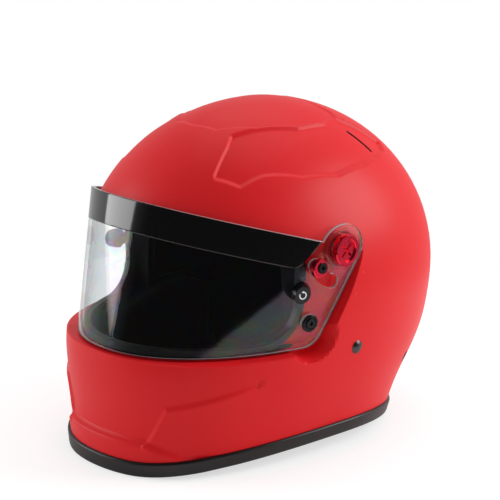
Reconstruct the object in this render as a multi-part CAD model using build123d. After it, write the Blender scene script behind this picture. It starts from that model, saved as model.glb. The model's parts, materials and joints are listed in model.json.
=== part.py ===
from build123d import *
import os
from math import cos, radians, sin, sqrt, tan

# A full-face car racing helmet with a wide eye port and a clear visor on two side pivots.
# The origin is at the middle of the helmet's box, on the surface that it stands on.
# The face looks along -Y, the wearer's left is +X, and up is +Z. Lengths are millimetres.

# Overall sizes
LENGTH = 328
WIDTH = 242
HEIGHT = 268
REAR_REACH = 156          # from the widest line to the back
SHOULDER_HEIGHT = 128     # the shell is widest here and a dome above
OVERRUN = 20              # how far cutting solids run past what they cut

# Shell, its sunk crown and its lip
SHELL_WALL = 3.5
CROWN_REACH_SHARE = 0.95  # of the dome's reaches, which sinks the crown at its border
FLANK_SINK = 1
LIP_STEP = 4.5
LIP_HEIGHT = 29
LIP_FLAT = 46             # half width of the lip's full height
LIP_END = 82              # half width where it has run out
BASE_FLAT = 32            # half width of the level part of the base edge
BASE_RISE = 10            # how far the base edge climbs at the sides

# Edge rubber
TRIM_WALL = 2.5
TRIM_HEIGHT = 12
GASKET_WALL = 1
GASKET_LEG = 3
GASKET_LIP = 2

# Visor sheet, its outline seen from the side, and its band
VISOR_WALL = 3
VISOR_GAP = 2
VISOR_FOOT = 94
VISOR_TOP = 212
VISOR_FRONT = 163         # reach of the foot from the widest line
VISOR_HALF = 111.5
VISOR_RAKE = 0.234
VISOR_FLARE = 0.092
VISOR_FULLNESS_SHARE = 0.584
LOBE_RADIUS = 20
VISOR_CORNER = 18
REAR_EDGE_ANGLE = 60
BAND_SLOPE = 0.303
BAND_EDGE_HEIGHT = 184    # top edge of the visor, BAND_EDGE_BACK in front of the widest line
BAND_EDGE_BACK = 60
BAND_WIDTH = 25
BAND_END = 41
BAND_END_LEAN = 19
BAND_WALL = 0.4
RECESS_MARGIN = 2.5
SCOOP_RADIUS = 22.5
SCOOP_BACK = 49
SCOOP_HEIGHT = 106.5

# Eye port
PORT_BACK = 53
PORT_FOOT = 97.5
PORT_CORNER = 32
PORT_TOP_CORNER = 20
PORT_DROP = 11            # from the visor's top edge down to the port's

# Pivots, detents, latches and tear-off posts, seen from the side
PIVOT_BACK = 21
PIVOT_HEIGHT = 169
PIVOT_TRAVEL = 50
HUB_RADIUS = 15
HUB_IN = 114.2            # from the middle plane to the hub's inner face
HUB_WALL = 3.2
SPIGOT_RADIUS = 9
RUNNING_GAP = 0.08
FACE_GAP = 0.3
BOSS_RADIUS = 14
SCREW_STEM = 4
RING_RADIUS = 12.25
RING_WALL = 5
RING_BORE = 8.5
SCREW_SINK = 1.6
CROSS_WIDTH = 1.8
CROSS_DEPTH = 1.8
NOTCH_RADIUS = 1.2
NOTCHES = 6
NUT_RADIUS = 9
NUT_WALL = 2.2
DETENT_REACH = 26         # from the pivot to the detent's stem
DETENT_ANGLE = 22         # below straight ahead
DETENT_STEM = 4.4
DETENT_CAP = 7.5
DETENT_CAP_WALL = 3.4
DETENT_SHIFT = 1.2
DETENT_UNDER = 116.4
SLOT_CLEARANCE = 0.6
SLOT_SLACK = 1            # degrees past each end of the travel
SCALLOPS = 4
SCALLOP_DEPTH = 1.1
CAM_SCREW_RADIUS = 4.3
CAM_SCREW_SINK = 1.4
CAM_SCREW_WALL = 2.4
CAM_SCREW_STEM = 2
SOCKET_RADIUS = 1.7
SOCKET_DEPTH = 1.5
LATCH_BACK = 47.5
LATCH_HEIGHT = 114
LATCH_RADIUS = 5
LATCH_HOLE = 6.5
LATCH_GAP = 0.35
POST_ALONG_SHARE = 0.272
POST_HEIGHT = 141
POST_PIN = 2.5
POST_HEAD = 5
POST_HEAD_WALL = 1
KNOB_RADIUS = 8
KNOB_TOP = 6.5
KNOB_SHIFT = 2.4
KNOB_HEIGHT = 9
KNOB_FOOT = 1             # room under it for the films' tabs
KNOB_BORE_SHARE = 0.6
KNOB_WAIST_SHARE = 0.4

# Chin strap, its anchors and rings
STRAP_WIDTH = 25
STRAP_WALL = 2.2
STRAP_Y = 3
STRAP_SINK = 10           # from the shell's widest reach to the strap at its anchor
STRAP_TOP = 99
STRAP_TURN = 72           # height where it leaves the shell
STRAP_REST = 58.5         # from the middle plane to the hanging strap
STRAP_EXIT = 56           # height where it comes out of the cheek pad
STRAP_BENDS = 9
STRAP_SLOT_GAP = 1.2
RIVET_HEIGHT = 88
RIVET_RADIUS = 5.5
RIVET_RISE = 2.2
RIVET_STEM = 2.5
RIVET_GAP = 0.1
WASHER_RADIUS = 8
WASHER_WALL = 1.5
LOOP_HEIGHT = 31
LOOP_WALL = 1.6
RING_WIRE = 2
RING_HALF = 15.5          # from the middle of a D-ring to its wire's axis
RING_DROP = 6
RING_CORNER = 3.6
RING_SIDE_GAP = 0.05
FOLD_FOOT = 12
FOLD_TOP = 44
FOLD_END = 17
FOLD_PITCH = 7
FOLD_BEND = 3.3
SNAP_HEIGHT = 25
SNAP_RADIUS = 6
SNAP_WALL = 1.8
SNAP_PIN = 2

# Anchor inserts for a neck restraint, and the rear vents
INSERT_RADIUS = 4.5
INSERT_BORE = 2.5
INSERT_LENGTH = 9
INSERT_SINK = 1.2
INSERT_FLANGE = 6
INSERT_BACK = 14          # behind the widest line, where its axis leaves the middle plane
INSERT_HEIGHT = 57
INSERT_TURN = 33          # of its axis, rearwards from straight out
VENT_LENGTH = 20
VENT_WIDTH = 2.4
VENT_PLACE_SHARES = (0.545, 0.352)
VENT_TURN = 45

# Linings
LINING_GAP = 0.3
LINER_WALL = 30
LINER_REAR_FOOT = 39
CHIN_LINER_WALL = 20
CHIN_LINER_FOOT = 24
COMFORT_WALL = 7
COMFORT_MARGIN = 5        # by which it stays short of the liner's edges
SEAM_WIDTH = 2.4
SEAM_DEPTH = 2
SEAMS = 3
SEAM_PITCH = 34
CHEEK_FACE = 62           # from the middle plane to the crown of a cheek pad
CHEEK_DEPTH = 54
CHEEK_FRONT = 96          # in front of the widest line
CHEEK_BACK = 8            # behind it
CHEEK_FOOT = 24
CHEEK_TOP = 104
CHEEK_TOP_FRONT = 42
CHEEK_BROW = 88
CHEEK_CORNER = 17
CHEEK_CROWN_SHARES = ((0, 0.92), (0.04, 0.55), (0.13, 0.2), (0.3, 0), (1, 0.06))
ROLL_RADIUS = 10
ROLL_HEIGHT = 28
ROLL_REACH_SHARES = (0.750, 0.851)

# Derived places
FRONT_REACH = LENGTH - REAR_REACH
HALF_WIDTH = WIDTH / 2
WIDEST_Y = LENGTH / 2 - REAR_REACH
PIVOT_Y = WIDEST_Y - PIVOT_BACK
PORT_Y = WIDEST_Y - PORT_BACK
FAR = LENGTH + OVERRUN
UPWARD = (Align.CENTER, Align.CENTER, Align.MIN)

# Corners of the sunk crown and of the sunk strip beside it, seen from above, as shares of
# the half width across and of the half length back from the origin, on the wearer's left.
CROWN_SHARES = (
    (0.000, -0.390), (0.198, -0.366), (0.372, -0.207), (0.463, 0.000),
    (0.455, 0.171), (0.380, 0.317), (0.306, 0.330), (0.215, 0.299), (0.000, 0.262),
)
STRIP_SHARES = (
    (0.430, -0.545), (0.587, -0.463), (0.625, -0.341), (0.727, -0.159), (0.769, 0.043),
    (0.727, 0.250), (0.661, 0.390), (0.562, 0.512), (0.463, 0.555), (0.440, 0.500),
    (0.370, 0.310), (0.440, 0.171), (0.445, 0.000), (0.355, -0.200), (0.300, -0.340),
    (0.350, -0.400),
)
STRIP_CORNER_SHARE = 0.03

# Level outlines of the shell: height, front reach, rear reach and half width as shares of
# the overall sizes, then how full the front and rear quarters are.
LOWER_SHARES = (
    (-0.060, 0.948, 0.680, 0.760, 0.70, 0.57),
    (0.000, 0.959, 0.700, 0.793, 0.70, 0.57),
    (0.075, 0.959, 0.738, 0.839, 0.70, 0.57),
    (0.149, 0.956, 0.798, 0.884, 0.69, 0.57),
    (0.224, 0.968, 0.878, 0.934, 0.67, 0.575),
    (0.306, 0.971, 0.952, 0.971, 0.66, 0.58),
    (0.388, 0.945, 0.990, 0.990, 0.64, 0.58),
    (0.478, 0.890, 1.000, 1.000, 0.62, 0.585),
)
DOME_ANGLES = (12, 24, 36, 47, 57, 66, 74, 81, 86.5)
DOME_FULLNESS_SHARES = (0.61, 0.585)
DOME_FRONT_POWER = 0.9
DOME_REAR_POWER = 1.05


def quarter(half, reach, fullness, side):
    """One quarter curve from the widest line to the middle plane, at the height zero."""
    return (
        (side * half, 0),
        (side * half, fullness * reach),
        (side * fullness * half, reach),
        (0, reach),
    )


def level_outline(height, front, rear, half, front_full, rear_full):
    """Closed level outline of four quarter curves."""
    quarters = (
        quarter(half, -front, front_full, 1),
        tuple(reversed(quarter(half, -front, front_full, -1))),
        quarter(half, rear, rear_full, -1),
        tuple(reversed(quarter(half, rear, rear_full, 1))),
    )
    curves = [
        Bezier(*[(x, WIDEST_Y + y, height) for x, y in points]) for points in quarters
    ]
    return Wire(curves)


def lower_outlines(grow, lip, rows):
    """Outlines of the lower shell, grown outwards, with the front moved out by the lip."""
    return [
        level_outline(
            height * HEIGHT,
            front * FRONT_REACH + grow + lip,
            rear * REAR_REACH + grow,
            half * HALF_WIDTH + grow,
            front_full,
            rear_full,
        )
        for height, front, rear, half, front_full, rear_full in rows
    ]


def dome_outlines(grow, reach_share=1):
    """Outlines of the dome above the shoulder, ending in a small level cap."""
    front = LOWER_SHARES[-1][1] * FRONT_REACH
    rise = HEIGHT + grow - SHOULDER_HEIGHT
    highest = sin(radians(DOME_ANGLES[-1]))
    outlines = []
    for angle in DOME_ANGLES:
        inward = reach_share * cos(radians(angle))
        outlines.append(
            level_outline(
                SHOULDER_HEIGHT + rise * sin(radians(angle)) / highest,
                (front + grow) * inward**DOME_FRONT_POWER,
                (REAR_REACH + grow) * inward**DOME_REAR_POWER,
                (HALF_WIDTH + grow) * inward,
                *DOME_FULLNESS_SHARES,
            )
        )
    return outlines


def helmet_form(grow):
    """The whole smooth form, grown outwards by a distance."""
    return Solid.make_loft(lower_outlines(grow, 0, LOWER_SHARES) + dome_outlines(grow))


def base_form(grow):
    """The lower form with its front moved out to the lip."""
    return Solid.make_loft(lower_outlines(grow, LIP_STEP, LOWER_SHARES[:5]))


def base_profile(lift):
    """The base edge seen from the front, raised by a distance: level, then climbing arcs."""
    reach = HALF_WIDTH + OVERRUN
    run = LOWER_SHARES[1][3] * HALF_WIDTH - BASE_FLAT
    radius = (run**2 + BASE_RISE**2) / (2 * BASE_RISE)
    end = lift + radius - sqrt(radius**2 - (reach - BASE_FLAT) ** 2)
    right = TangentArc((BASE_FLAT, lift), (reach, end), tangent=(1, 0))
    left = TangentArc((-BASE_FLAT, lift), (-reach, end), tangent=(-1, 0))
    return right, Line((-BASE_FLAT, lift), (BASE_FLAT, lift)), left, reach, end


def above_base(lift):
    """Everything above the base edge raised by a distance."""
    right, middle, left, reach, end = base_profile(lift)
    top = Polyline((reach, end), (reach, FAR), (-reach, FAR), (-reach, end))
    face = make_face([*right.edges(), *middle.edges(), *left.edges(), *top.edges()])
    return extrude(Plane.XZ * face, amount=FAR, both=True)


def side_prism(face, near=-FAR, far=FAR):
    """A side outline, drawn with Y across and Z up, carried from one X to another."""
    return extrude(Plane.YZ.offset(near) * face, amount=far - near)


def rounded(points, radii):
    """A closed outline of straight lines with its corners rounded."""
    return make_face(FilletPolyline(*points, radius=radii, close=True))


def disc(inner, outer, radius, y, z):
    """A round bar along X between two distances."""
    bar = Cylinder(radius, outer - inner, align=UPWARD)
    return Pos(inner, y, z) * Rot(0, 90, 0) * bar


def mirrored(shape):
    """The same piece on the wearer's right."""
    return mirror(shape, about=Plane.YZ)


def both_sides(shape):
    """A shape and its mirror image."""
    return shape + mirrored(shape)


def polar(radius, below):
    """A place at a radius from the pivot, an angle below straight ahead."""
    return (
        PIVOT_Y - radius * cos(radians(below)),
        PIVOT_HEIGHT - radius * sin(radians(below)),
    )


def visor_outline_at(height, grow):
    """Level outline of the visor's sheet: two quarter curves and straight sides behind."""
    climb = height - VISOR_FOOT
    half = VISOR_HALF + climb * VISOR_FLARE + grow
    front = VISOR_FRONT - climb * VISOR_RAKE + grow
    points = quarter(half, -front, VISOR_FULLNESS_SHARE, 1)
    back = WIDEST_Y + 2 * OVERRUN
    curves = [
        Bezier(*[(side * x, WIDEST_Y + y, height) for x, y in points]) for side in (1, -1)
    ]
    sides = Polyline(
        (half, WIDEST_Y, height),
        (half, back, height),
        (-half, back, height),
        (-half, WIDEST_Y, height),
    )
    return Wire(curves + list(sides.edges()))


def visor_form(grow):
    """Everything inside the visor's sheet, grown outwards by a distance."""
    heights = (VISOR_FOOT - 2 * OVERRUN, VISOR_TOP + OVERRUN)
    return Solid.make_loft([visor_outline_at(height, grow) for height in heights], ruled=True)


def edge_height(y, drop):
    """Height of the visor's sloping top edge at a place, less a drop."""
    return BAND_EDGE_HEIGHT - BAND_SLOPE * (y - WIDEST_Y + BAND_EDGE_BACK) - drop


def visor_side(grow):
    """Side outline of the visor: a long plate with a round lobe at the pivot."""
    lean = radians(REAR_EDGE_ANGLE)
    reach = LOBE_RADIUS + grow
    touch = (PIVOT_Y + reach * sin(lean), PIVOT_HEIGHT - reach * cos(lean))
    foot = VISOR_FOOT - grow
    heel = (touch[0] - (touch[1] - foot) / tan(lean), foot)
    top_back = (PIVOT_Y, edge_height(PIVOT_Y, 0) + grow)
    top_front = (-FAR, edge_height(-FAR, 0) + grow)
    points = ((-FAR, foot), heel, touch, (PIVOT_Y, PIVOT_HEIGHT), top_back, top_front)
    radii = (0, VISOR_CORNER + grow, 0, 0, 0, 0)
    plate = rounded(points, radii)
    lobe = Pos(PIVOT_Y, PIVOT_HEIGHT) * Circle(reach)
    return plate + lobe


def port_side(grow):
    """Side outline of the eye port."""
    back = PORT_Y + grow
    top = edge_height(back, PORT_DROP) + grow
    front = edge_height(-FAR, PORT_DROP) + grow
    foot = PORT_FOOT - grow
    points = ((-FAR, foot), (back, foot), (back, top), (-FAR, front))
    radii = (0, PORT_CORNER + grow, PORT_TOP_CORNER + grow, 0)
    return rounded(points, radii)


def recess(deeper):
    """What the shell loses under the visor: its outline with a thumb scoop at the heel."""
    face = visor_side(RECESS_MARGIN + deeper)
    scoop = Pos(WIDEST_Y - SCOOP_BACK, SCOOP_HEIGHT) * Circle(SCOOP_RADIUS + deeper)
    return side_prism(face + scoop) - visor_form(-VISOR_WALL - VISOR_GAP - deeper)


def shell_form(inward):
    """The shell's outer form with its visor recess, moved inwards by a distance."""
    return helmet_form(-inward) - recess(inward)


def hull_point(form, start, direction):
    """Where a line from a place leaves a form, and which way the form faces there."""
    line = Axis(start, direction)
    hits = [hit for face in form.faces() for hit in face.find_intersection_points(line)]
    return max(hits, key=lambda hit: (hit[0] - Vector(start)).dot(Vector(direction)))


def plan_face(shares):
    """A closed outline seen from above, from corners in shares of the sizes."""
    points = [(x * HALF_WIDTH, y * LENGTH / 2) for x, y in shares]
    return make_face(FilletPolyline(*points, radius=STRIP_CORNER_SHARE * HALF_WIDTH, close=True))


def crown_face():
    """The sunk crown seen from above."""
    left = [(x, y) for x, y in CROWN_SHARES]
    right = [(-x, y) for x, y in reversed(CROWN_SHARES[1:-1])]
    return plan_face(left + right)


def from_above(face):
    """A plan outline carried up through the dome."""
    return extrude(Plane.XY.offset(SHOULDER_HEIGHT) * face, amount=HEIGHT)


def lip():
    """The proud lip along the chin, which runs out to both sides."""
    low = -OVERRUN
    points = ((-LIP_END, low), (LIP_END, low), (LIP_END, TRIM_HEIGHT), (LIP_FLAT, LIP_HEIGHT))
    mirror_points = ((-LIP_FLAT, LIP_HEIGHT), (-LIP_END, TRIM_HEIGHT))
    front = extrude(Plane.XZ * make_face(Polyline(*points, *mirror_points, close=True)), FAR)
    return (base_form(0) - helmet_form(-SHELL_WALL / 2)) & front


def vent():
    """The slit of a rear vent on the wearer's left."""
    across, back = VENT_PLACE_SHARES
    place = Pos(across * HALF_WIDTH, back * LENGTH / 2) * Rot(0, 0, VENT_TURN)
    return from_above(place * SlotOverall(VENT_LENGTH, VENT_WIDTH))


def outer_body():
    """The shell as a solid, with its sunk crown and strips, its lip and visor recess."""
    body = shell_form(0)
    strip = from_above(plan_face(STRIP_SHARES)) - helmet_form(-FLANK_SINK)
    crown = Solid.make_loft(dome_outlines(0, CROWN_REACH_SHARE))
    body = body - both_sides(strip) - (from_above(crown_face()) - crown)
    return (body + lip()) & above_base(TRIM_WALL)


def neck_trim(shell_solid):
    """Rubber channel along the whole base edge."""
    band = (base_form(TRIM_WALL) - helmet_form(-SHELL_WALL - TRIM_WALL)) & above_base(0)
    return band - above_base(TRIM_HEIGHT) - shell_solid


def eyeport_gasket(shell_solid):
    """Rubber channel round the eye port, with a leg on each face of the shell."""
    layer = shell_form(-GASKET_WALL) - shell_form(SHELL_WALL + GASKET_WALL)
    ring = side_prism(port_side(GASKET_LEG)) - side_prism(port_side(-GASKET_LIP))
    return (layer & ring) - shell_solid


def detent_slot():
    """Curved slot that the detent runs in, with scallops along its inner edge."""
    half = DETENT_STEM + SLOT_CLEARANCE
    start = 180 + DETENT_ANGLE - SLOT_SLACK
    turn = PIVOT_TRAVEL + 2 * SLOT_SLACK
    arc = CenterArc((PIVOT_Y, PIVOT_HEIGHT), DETENT_REACH, start, turn)
    face = SlotArc(arc, 2 * half)
    for index in range(SCALLOPS):
        below = DETENT_ANGLE + PIVOT_TRAVEL * index / (SCALLOPS - 1)
        face = face + Pos(*polar(DETENT_REACH - SCALLOP_DEPTH, below)) * Circle(half)
    return side_prism(face, 0)


def visor_point(along, height):
    """A place on the visor's outer surface and the plane that touches it there."""
    def at(share, level):
        climb = level - VISOR_FOOT
        half = VISOR_HALF + climb * VISOR_FLARE
        front = VISOR_FRONT - climb * VISOR_RAKE
        curve = Bezier(*quarter(half, -front, VISOR_FULLNESS_SHARE, 1))
        place = curve @ share
        return Vector(place.X, WIDEST_Y + place.Y, level)

    here = at(along, height)
    forward = at(along + POST_ALONG_SHARE / 100, height) - here
    upward = at(along, height + VISOR_WALL) - here
    return Plane(origin=here, x_dir=forward, z_dir=upward.cross(forward))


def visor(post_plane):
    """Clear sheet with its pivot hubs, detent slots and holes."""
    sheet = (visor_form(0) - visor_form(-VISOR_WALL)) & side_prism(visor_side(0))
    hub = disc(HUB_IN, HUB_IN + HUB_WALL, HUB_RADIUS, PIVOT_Y, PIVOT_HEIGHT)
    sheet = sheet - both_sides(disc(0, FAR, HUB_RADIUS, PIVOT_Y, PIVOT_HEIGHT))
    sheet = sheet + both_sides(hub)
    post_bore = post_plane * Cylinder(POST_PIN + RUNNING_GAP, 2 * OVERRUN)
    depth = OVERRUN - VISOR_WALL + POST_HEAD_WALL + RUNNING_GAP
    head_room = Pos(0, 0, -OVERRUN) * Cylinder(POST_HEAD + RUNNING_GAP, depth, align=UPWARD)
    cuts = [
        disc(0, FAR, SPIGOT_RADIUS + RUNNING_GAP, PIVOT_Y, PIVOT_HEIGHT),
        disc(0, FAR, LATCH_HOLE, WIDEST_Y - LATCH_BACK, LATCH_HEIGHT),
        detent_slot(),
        post_bore,
        post_plane * head_room,
    ]
    for cut in cuts:
        sheet = sheet - both_sides(cut)
    return sheet


def visor_band():
    """Dark band along the visor's top, with ends that lean forward."""
    top_end = WIDEST_Y - BAND_END
    low_end = top_end - BAND_END_LEAN
    points = (
        (-FAR, edge_height(-FAR, BAND_WIDTH)),
        (low_end, edge_height(low_end, BAND_WIDTH)),
        (top_end, edge_height(top_end, 0)),
        (-FAR, edge_height(-FAR, 0)),
    )
    face = rounded(points, (0, BAND_WIDTH / 3, 0, 0))
    layer = visor_form(BAND_WALL) - visor_form(0)
    return layer & side_prism(face) & side_prism(visor_side(0))


def pivot_parts(body):
    """Boss, ring, slotted screw and nut of the left pivot."""
    place = (PIVOT_Y, PIVOT_HEIGHT)
    seat = HUB_IN - FACE_GAP
    face = HUB_IN + HUB_WALL + FACE_GAP
    boss = disc(0, seat, BOSS_RADIUS, *place) - body
    boss = boss + disc(seat - VISOR_GAP, face, SPIGOT_RADIUS, *place) - body
    bore = disc(0, face, SCREW_STEM + RUNNING_GAP, *place)
    boss = max((boss - bore).solids(), key=lambda solid: solid.center().X)
    top = face + RING_WALL
    ring = disc(face, top, RING_RADIUS, *place) - disc(face, top, RING_BORE, *place)
    rim = chamfer(ring.edges().filter_by(GeomType.CIRCLE).sort_by(Axis.X)[-2:], RING_WALL / 8)
    for index in range(NOTCHES):
        turn = radians(index * 360 / NOTCHES)
        y = PIVOT_Y + RING_RADIUS * cos(turn)
        z = PIVOT_HEIGHT + RING_RADIUS * sin(turn)
        rim = rim - disc(top - RING_WALL / 2, top, NOTCH_RADIUS, y, z)
    head_top = top - SCREW_SINK
    head = disc(face, head_top, RING_BORE - RUNNING_GAP, *place)
    for turn in (45, -45):
        bar = Box(2 * CROSS_DEPTH, CROSS_WIDTH, 2 * RING_BORE - 2 * CROSS_WIDTH)
        head = head - Pos(head_top, *place) * Rot(turn, 0, 0) * bar
    return boss, rim, head


def stem_and_nut(inside):
    """Length of the pivot screw inside the boss and shell, and the nut in the lining."""
    place = (PIVOT_Y, PIVOT_HEIGHT)
    face = HUB_IN + HUB_WALL + FACE_GAP
    skin = hull_point(inside, (0, *place), (1, 0, 0))[0].X
    base = skin - NUT_WALL - 2 * SHELL_WALL / 3
    nut = disc(base, FAR, NUT_RADIUS, *place) & inside
    nut = nut - disc(base, FAR, SCREW_STEM, *place)
    return disc(base, face, SCREW_STEM, *place), nut


def detent_parts(body, inside):
    """Eccentric detent and its socket screw, on the left side of the shell."""
    place = polar(DETENT_REACH, DETENT_ANGLE)
    cap_place = polar(DETENT_REACH + DETENT_SHIFT, DETENT_ANGLE)
    top = DETENT_UNDER + DETENT_CAP_WALL
    cam = disc(0, DETENT_UNDER, DETENT_STEM, *place) - body
    cap = disc(DETENT_UNDER, top, DETENT_CAP, *cap_place)
    cap = chamfer(cap.edges().filter_by(GeomType.CIRCLE).sort_by(Axis.X)[-1], DETENT_CAP_WALL / 6)
    cam = max(cam.solids(), key=lambda solid: solid.center().X) + cap
    cam = cam - disc(top - CAM_SCREW_SINK, top, CAM_SCREW_RADIUS + RUNNING_GAP, *place)
    cam = cam - disc(0, top, CAM_SCREW_STEM + RUNNING_GAP, *place)
    seat = top - CAM_SCREW_SINK
    skin = hull_point(inside, (0, *place), (1, 0, 0))[0].X
    screw = disc(seat, seat + CAM_SCREW_WALL, CAM_SCREW_RADIUS, *place)
    screw = screw + disc(skin + SHELL_WALL / 3, seat, CAM_SCREW_STEM, *place)
    return cam, screw - socket(seat + CAM_SCREW_WALL, *place)


def socket(face, y, z):
    """Six-sided socket in the face of a fastener."""
    hexagon = Pos(y, z) * RegularPolygon(SOCKET_RADIUS, 6)
    return side_prism(hexagon, face - SOCKET_DEPTH, face + SOCKET_DEPTH)


def latch_post(body):
    """Post on the left of the shell that the visor's corner hole closes over."""
    place = (WIDEST_Y - LATCH_BACK, LATCH_HEIGHT)
    post = disc(0, FAR, LATCH_RADIUS, *place) & visor_form(-VISOR_WALL - LATCH_GAP)
    post = max((post - body).solids(), key=lambda solid: solid.center().X)
    face = hull_point(post, (0, *place), (1, 0, 0))[0].X
    return post - socket(face, *place)


def tear_off_parts(plane):
    """Fixed post and eccentric turning knob for tear-off films, on the visor's left."""
    inside = -VISOR_WALL
    bore = KNOB_BORE_SHARE * KNOB_HEIGHT
    pin = Pos(0, 0, inside) * Cylinder(POST_PIN, bore - inside, align=UPWARD)
    head = Pos(0, 0, inside) * Cylinder(POST_HEAD, POST_HEAD_WALL, align=UPWARD)
    post = plane * (pin + head)
    foot = Pos(0, 0, KNOB_FOOT) * Circle(KNOB_RADIUS)
    waist = Pos(KNOB_SHIFT / 3, 0, KNOB_WAIST_SHARE * KNOB_HEIGHT) * Circle(KNOB_RADIUS)
    top = Pos(KNOB_SHIFT, 0, KNOB_HEIGHT) * Circle(KNOB_TOP)
    knob = loft([foot, waist, top])
    knob = knob - Cylinder(POST_PIN + RUNNING_GAP, bore + RUNNING_GAP, align=UPWARD)
    return post, plane * knob


def bend_radii(points):
    """Bends of a strap: wide ones high up and tight ones at its folds."""
    inner = len(points) - 2
    wide = min(3, inner)
    return [STRAP_BENDS] * wide + [FOLD_BEND] * (inner - wide)


def webbing(points, clear=0):
    """Webbing along corners seen from the front, or the space that it needs."""
    band = trace(FilletPolyline(*points, radius=bend_radii(points)), STRAP_WALL + 2 * clear)
    placed = Plane.XZ.offset(-STRAP_Y) * band
    return extrude(placed, amount=STRAP_WIDTH / 2 + clear, both=True)


def anchor_x():
    """From the middle plane to the middle of the webbing at its anchor."""
    return HALF_WIDTH - STRAP_SINK


def upper_run():
    """Corners of the webbing from its anchor to where it hangs beside the cheek pad."""
    run = anchor_x() - STRAP_REST
    return [
        (anchor_x(), STRAP_TOP),
        (anchor_x(), STRAP_TURN),
        (STRAP_REST + run / 3, STRAP_EXIT + (STRAP_TURN - STRAP_EXIT) / 3),
        (STRAP_REST, STRAP_EXIT - STRAP_BENDS),
    ]


def loop_bore():
    """Radius of the bore that both ring bars turn in."""
    return 2 * RING_WIRE + RING_SIDE_GAP + RUNNING_GAP


def bar_along_y(radius, length, x, z):
    """A round bar across the webbing's width."""
    return Pos(x, STRAP_Y, z) * Rot(90, 0, 0) * Cylinder(radius, length)


def ring_strap():
    """Short strap on the left, with the sewn loop that holds the rings."""
    outer = loop_bore() + LOOP_WALL
    strap = webbing(upper_run() + [(STRAP_REST, LOOP_HEIGHT + loop_bore())])
    strap = strap + bar_along_y(outer, STRAP_WIDTH, STRAP_REST, LOOP_HEIGHT)
    strap = strap - bar_along_y(loop_bore(), STRAP_WIDTH + OVERRUN, STRAP_REST, LOOP_HEIGHT)
    return strap - disc(0, FAR, RIVET_STEM + RIVET_GAP, STRAP_Y, RIVET_HEIGHT)


def fold_corners():
    """Corners of the long strap's loose end, folded back on itself twice."""
    second = STRAP_REST - FOLD_PITCH
    third = second - FOLD_PITCH
    return [
        (STRAP_REST, FOLD_FOOT),
        (second, FOLD_FOOT),
        (second, FOLD_TOP),
        (third, FOLD_TOP),
        (third, FOLD_END),
    ]


def long_strap():
    """Long strap, modelled on the left and mirrored, with its end folded up."""
    strap = webbing(upper_run() + fold_corners())
    strap = strap - disc(anchor_x() / 2, FAR, RIVET_STEM + RIVET_GAP, STRAP_Y, RIVET_HEIGHT)
    low, high = snap_span()
    return strap - disc(low, high, SNAP_PIN + RIVET_GAP, STRAP_Y, SNAP_HEIGHT)


def snap_span():
    """From the free side of the folded end to the face of the layer behind it."""
    third = STRAP_REST - 2 * FOLD_PITCH
    return third - STRAP_WALL / 2, third + FOLD_PITCH - STRAP_WALL / 2


def strap_snap():
    """Press stud that holds the folded end: a cap, a pin and a socket behind."""
    low, high = snap_span()
    place = (STRAP_Y, SNAP_HEIGHT)
    cap = disc(low - SNAP_WALL, low, SNAP_RADIUS, *place)
    cap = fillet(cap.edges().filter_by(GeomType.CIRCLE).sort_by(Axis.X)[0], SNAP_WALL / 2)
    pin = disc(low, low + STRAP_WALL, SNAP_PIN, *place)
    return cap + pin + disc(low + STRAP_WALL, high, SNAP_RADIUS, *place)


def ring_path(x):
    """Centre line of a ring's wire: a straight bar, two arms and a half round."""
    half, drop = RING_HALF, RING_DROP
    plane = Plane(origin=(x, STRAP_Y, LOOP_HEIGHT), x_dir=(0, 1, 0), z_dir=(1, 0, 0))
    corners = ((-half, -drop), (-half, 0), (half, 0), (half, -drop))
    bar = FilletPolyline(*corners, radius=RING_CORNER)
    bow = CenterArc((0, -drop), half, 180, 180)
    return Wire([plane * edge for edge in [*bar.edges(), *bow.edges()]]), plane


def d_ring(side):
    """One of the two rings, on the far or the near side of the loop's middle."""
    path, plane = ring_path(STRAP_REST + side * (RING_WIRE + RING_SIDE_GAP))
    across = Plane(origin=plane.origin, z_dir=plane.x_dir)
    wire = sweep(across * Circle(RING_WIRE), path=path)
    return wire


def rivet(body):
    """Domed rivet through the shell, strap and washer on the left."""
    place, facing = hull_point(body, (0, STRAP_Y, RIVET_HEIGHT), (1, 0, 0))
    radius = (RIVET_RADIUS**2 + RIVET_RISE**2) / (2 * RIVET_RISE)
    cap = Pos(0, 0, RIVET_RISE - radius) * Sphere(radius) & Cylinder(RIVET_RADIUS, radius)
    cap = Plane(origin=place, z_dir=facing) * cap - body
    washer_face = anchor_x() - STRAP_WALL / 2 - WASHER_WALL
    inner = washer_face - WASHER_WALL / 2
    stem = disc(inner, place.X, RIVET_STEM, STRAP_Y, RIVET_HEIGHT)
    clench = disc(inner, washer_face, 2 * RIVET_STEM, STRAP_Y, RIVET_HEIGHT)
    return cap + stem + clench


def rivet_washer():
    """Washer that spreads the rivet's pull over the webbing."""
    face = anchor_x() - STRAP_WALL / 2
    place = (STRAP_Y, RIVET_HEIGHT)
    plate = disc(face - WASHER_WALL, face, WASHER_RADIUS, *place)
    return plate - disc(face - WASHER_WALL, face, RIVET_STEM + RIVET_GAP, *place)


def insert_plane(body):
    """Where the left anchor insert's mouth lies, just under the shell's face."""
    turn = radians(INSERT_TURN)
    out = Vector(cos(turn), sin(turn), 0)
    place = hull_point(body, (0, WIDEST_Y + INSERT_BACK, INSERT_HEIGHT), tuple(out))[0]
    return Plane(origin=place - out * INSERT_SINK, z_dir=out)


def inward(plane, radius, depth):
    """A round bar from a plane into the helmet."""
    return plane * Pos(0, 0, -depth) * Cylinder(radius, depth, align=UPWARD)


def six_sided(plane, radius, depth, past=0):
    """A six-sided bar from a plane into the helmet, sized at its corners."""
    bar = extrude(RegularPolygon(radius, 6), depth + past)
    return plane * Pos(0, 0, -depth) * bar


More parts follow.
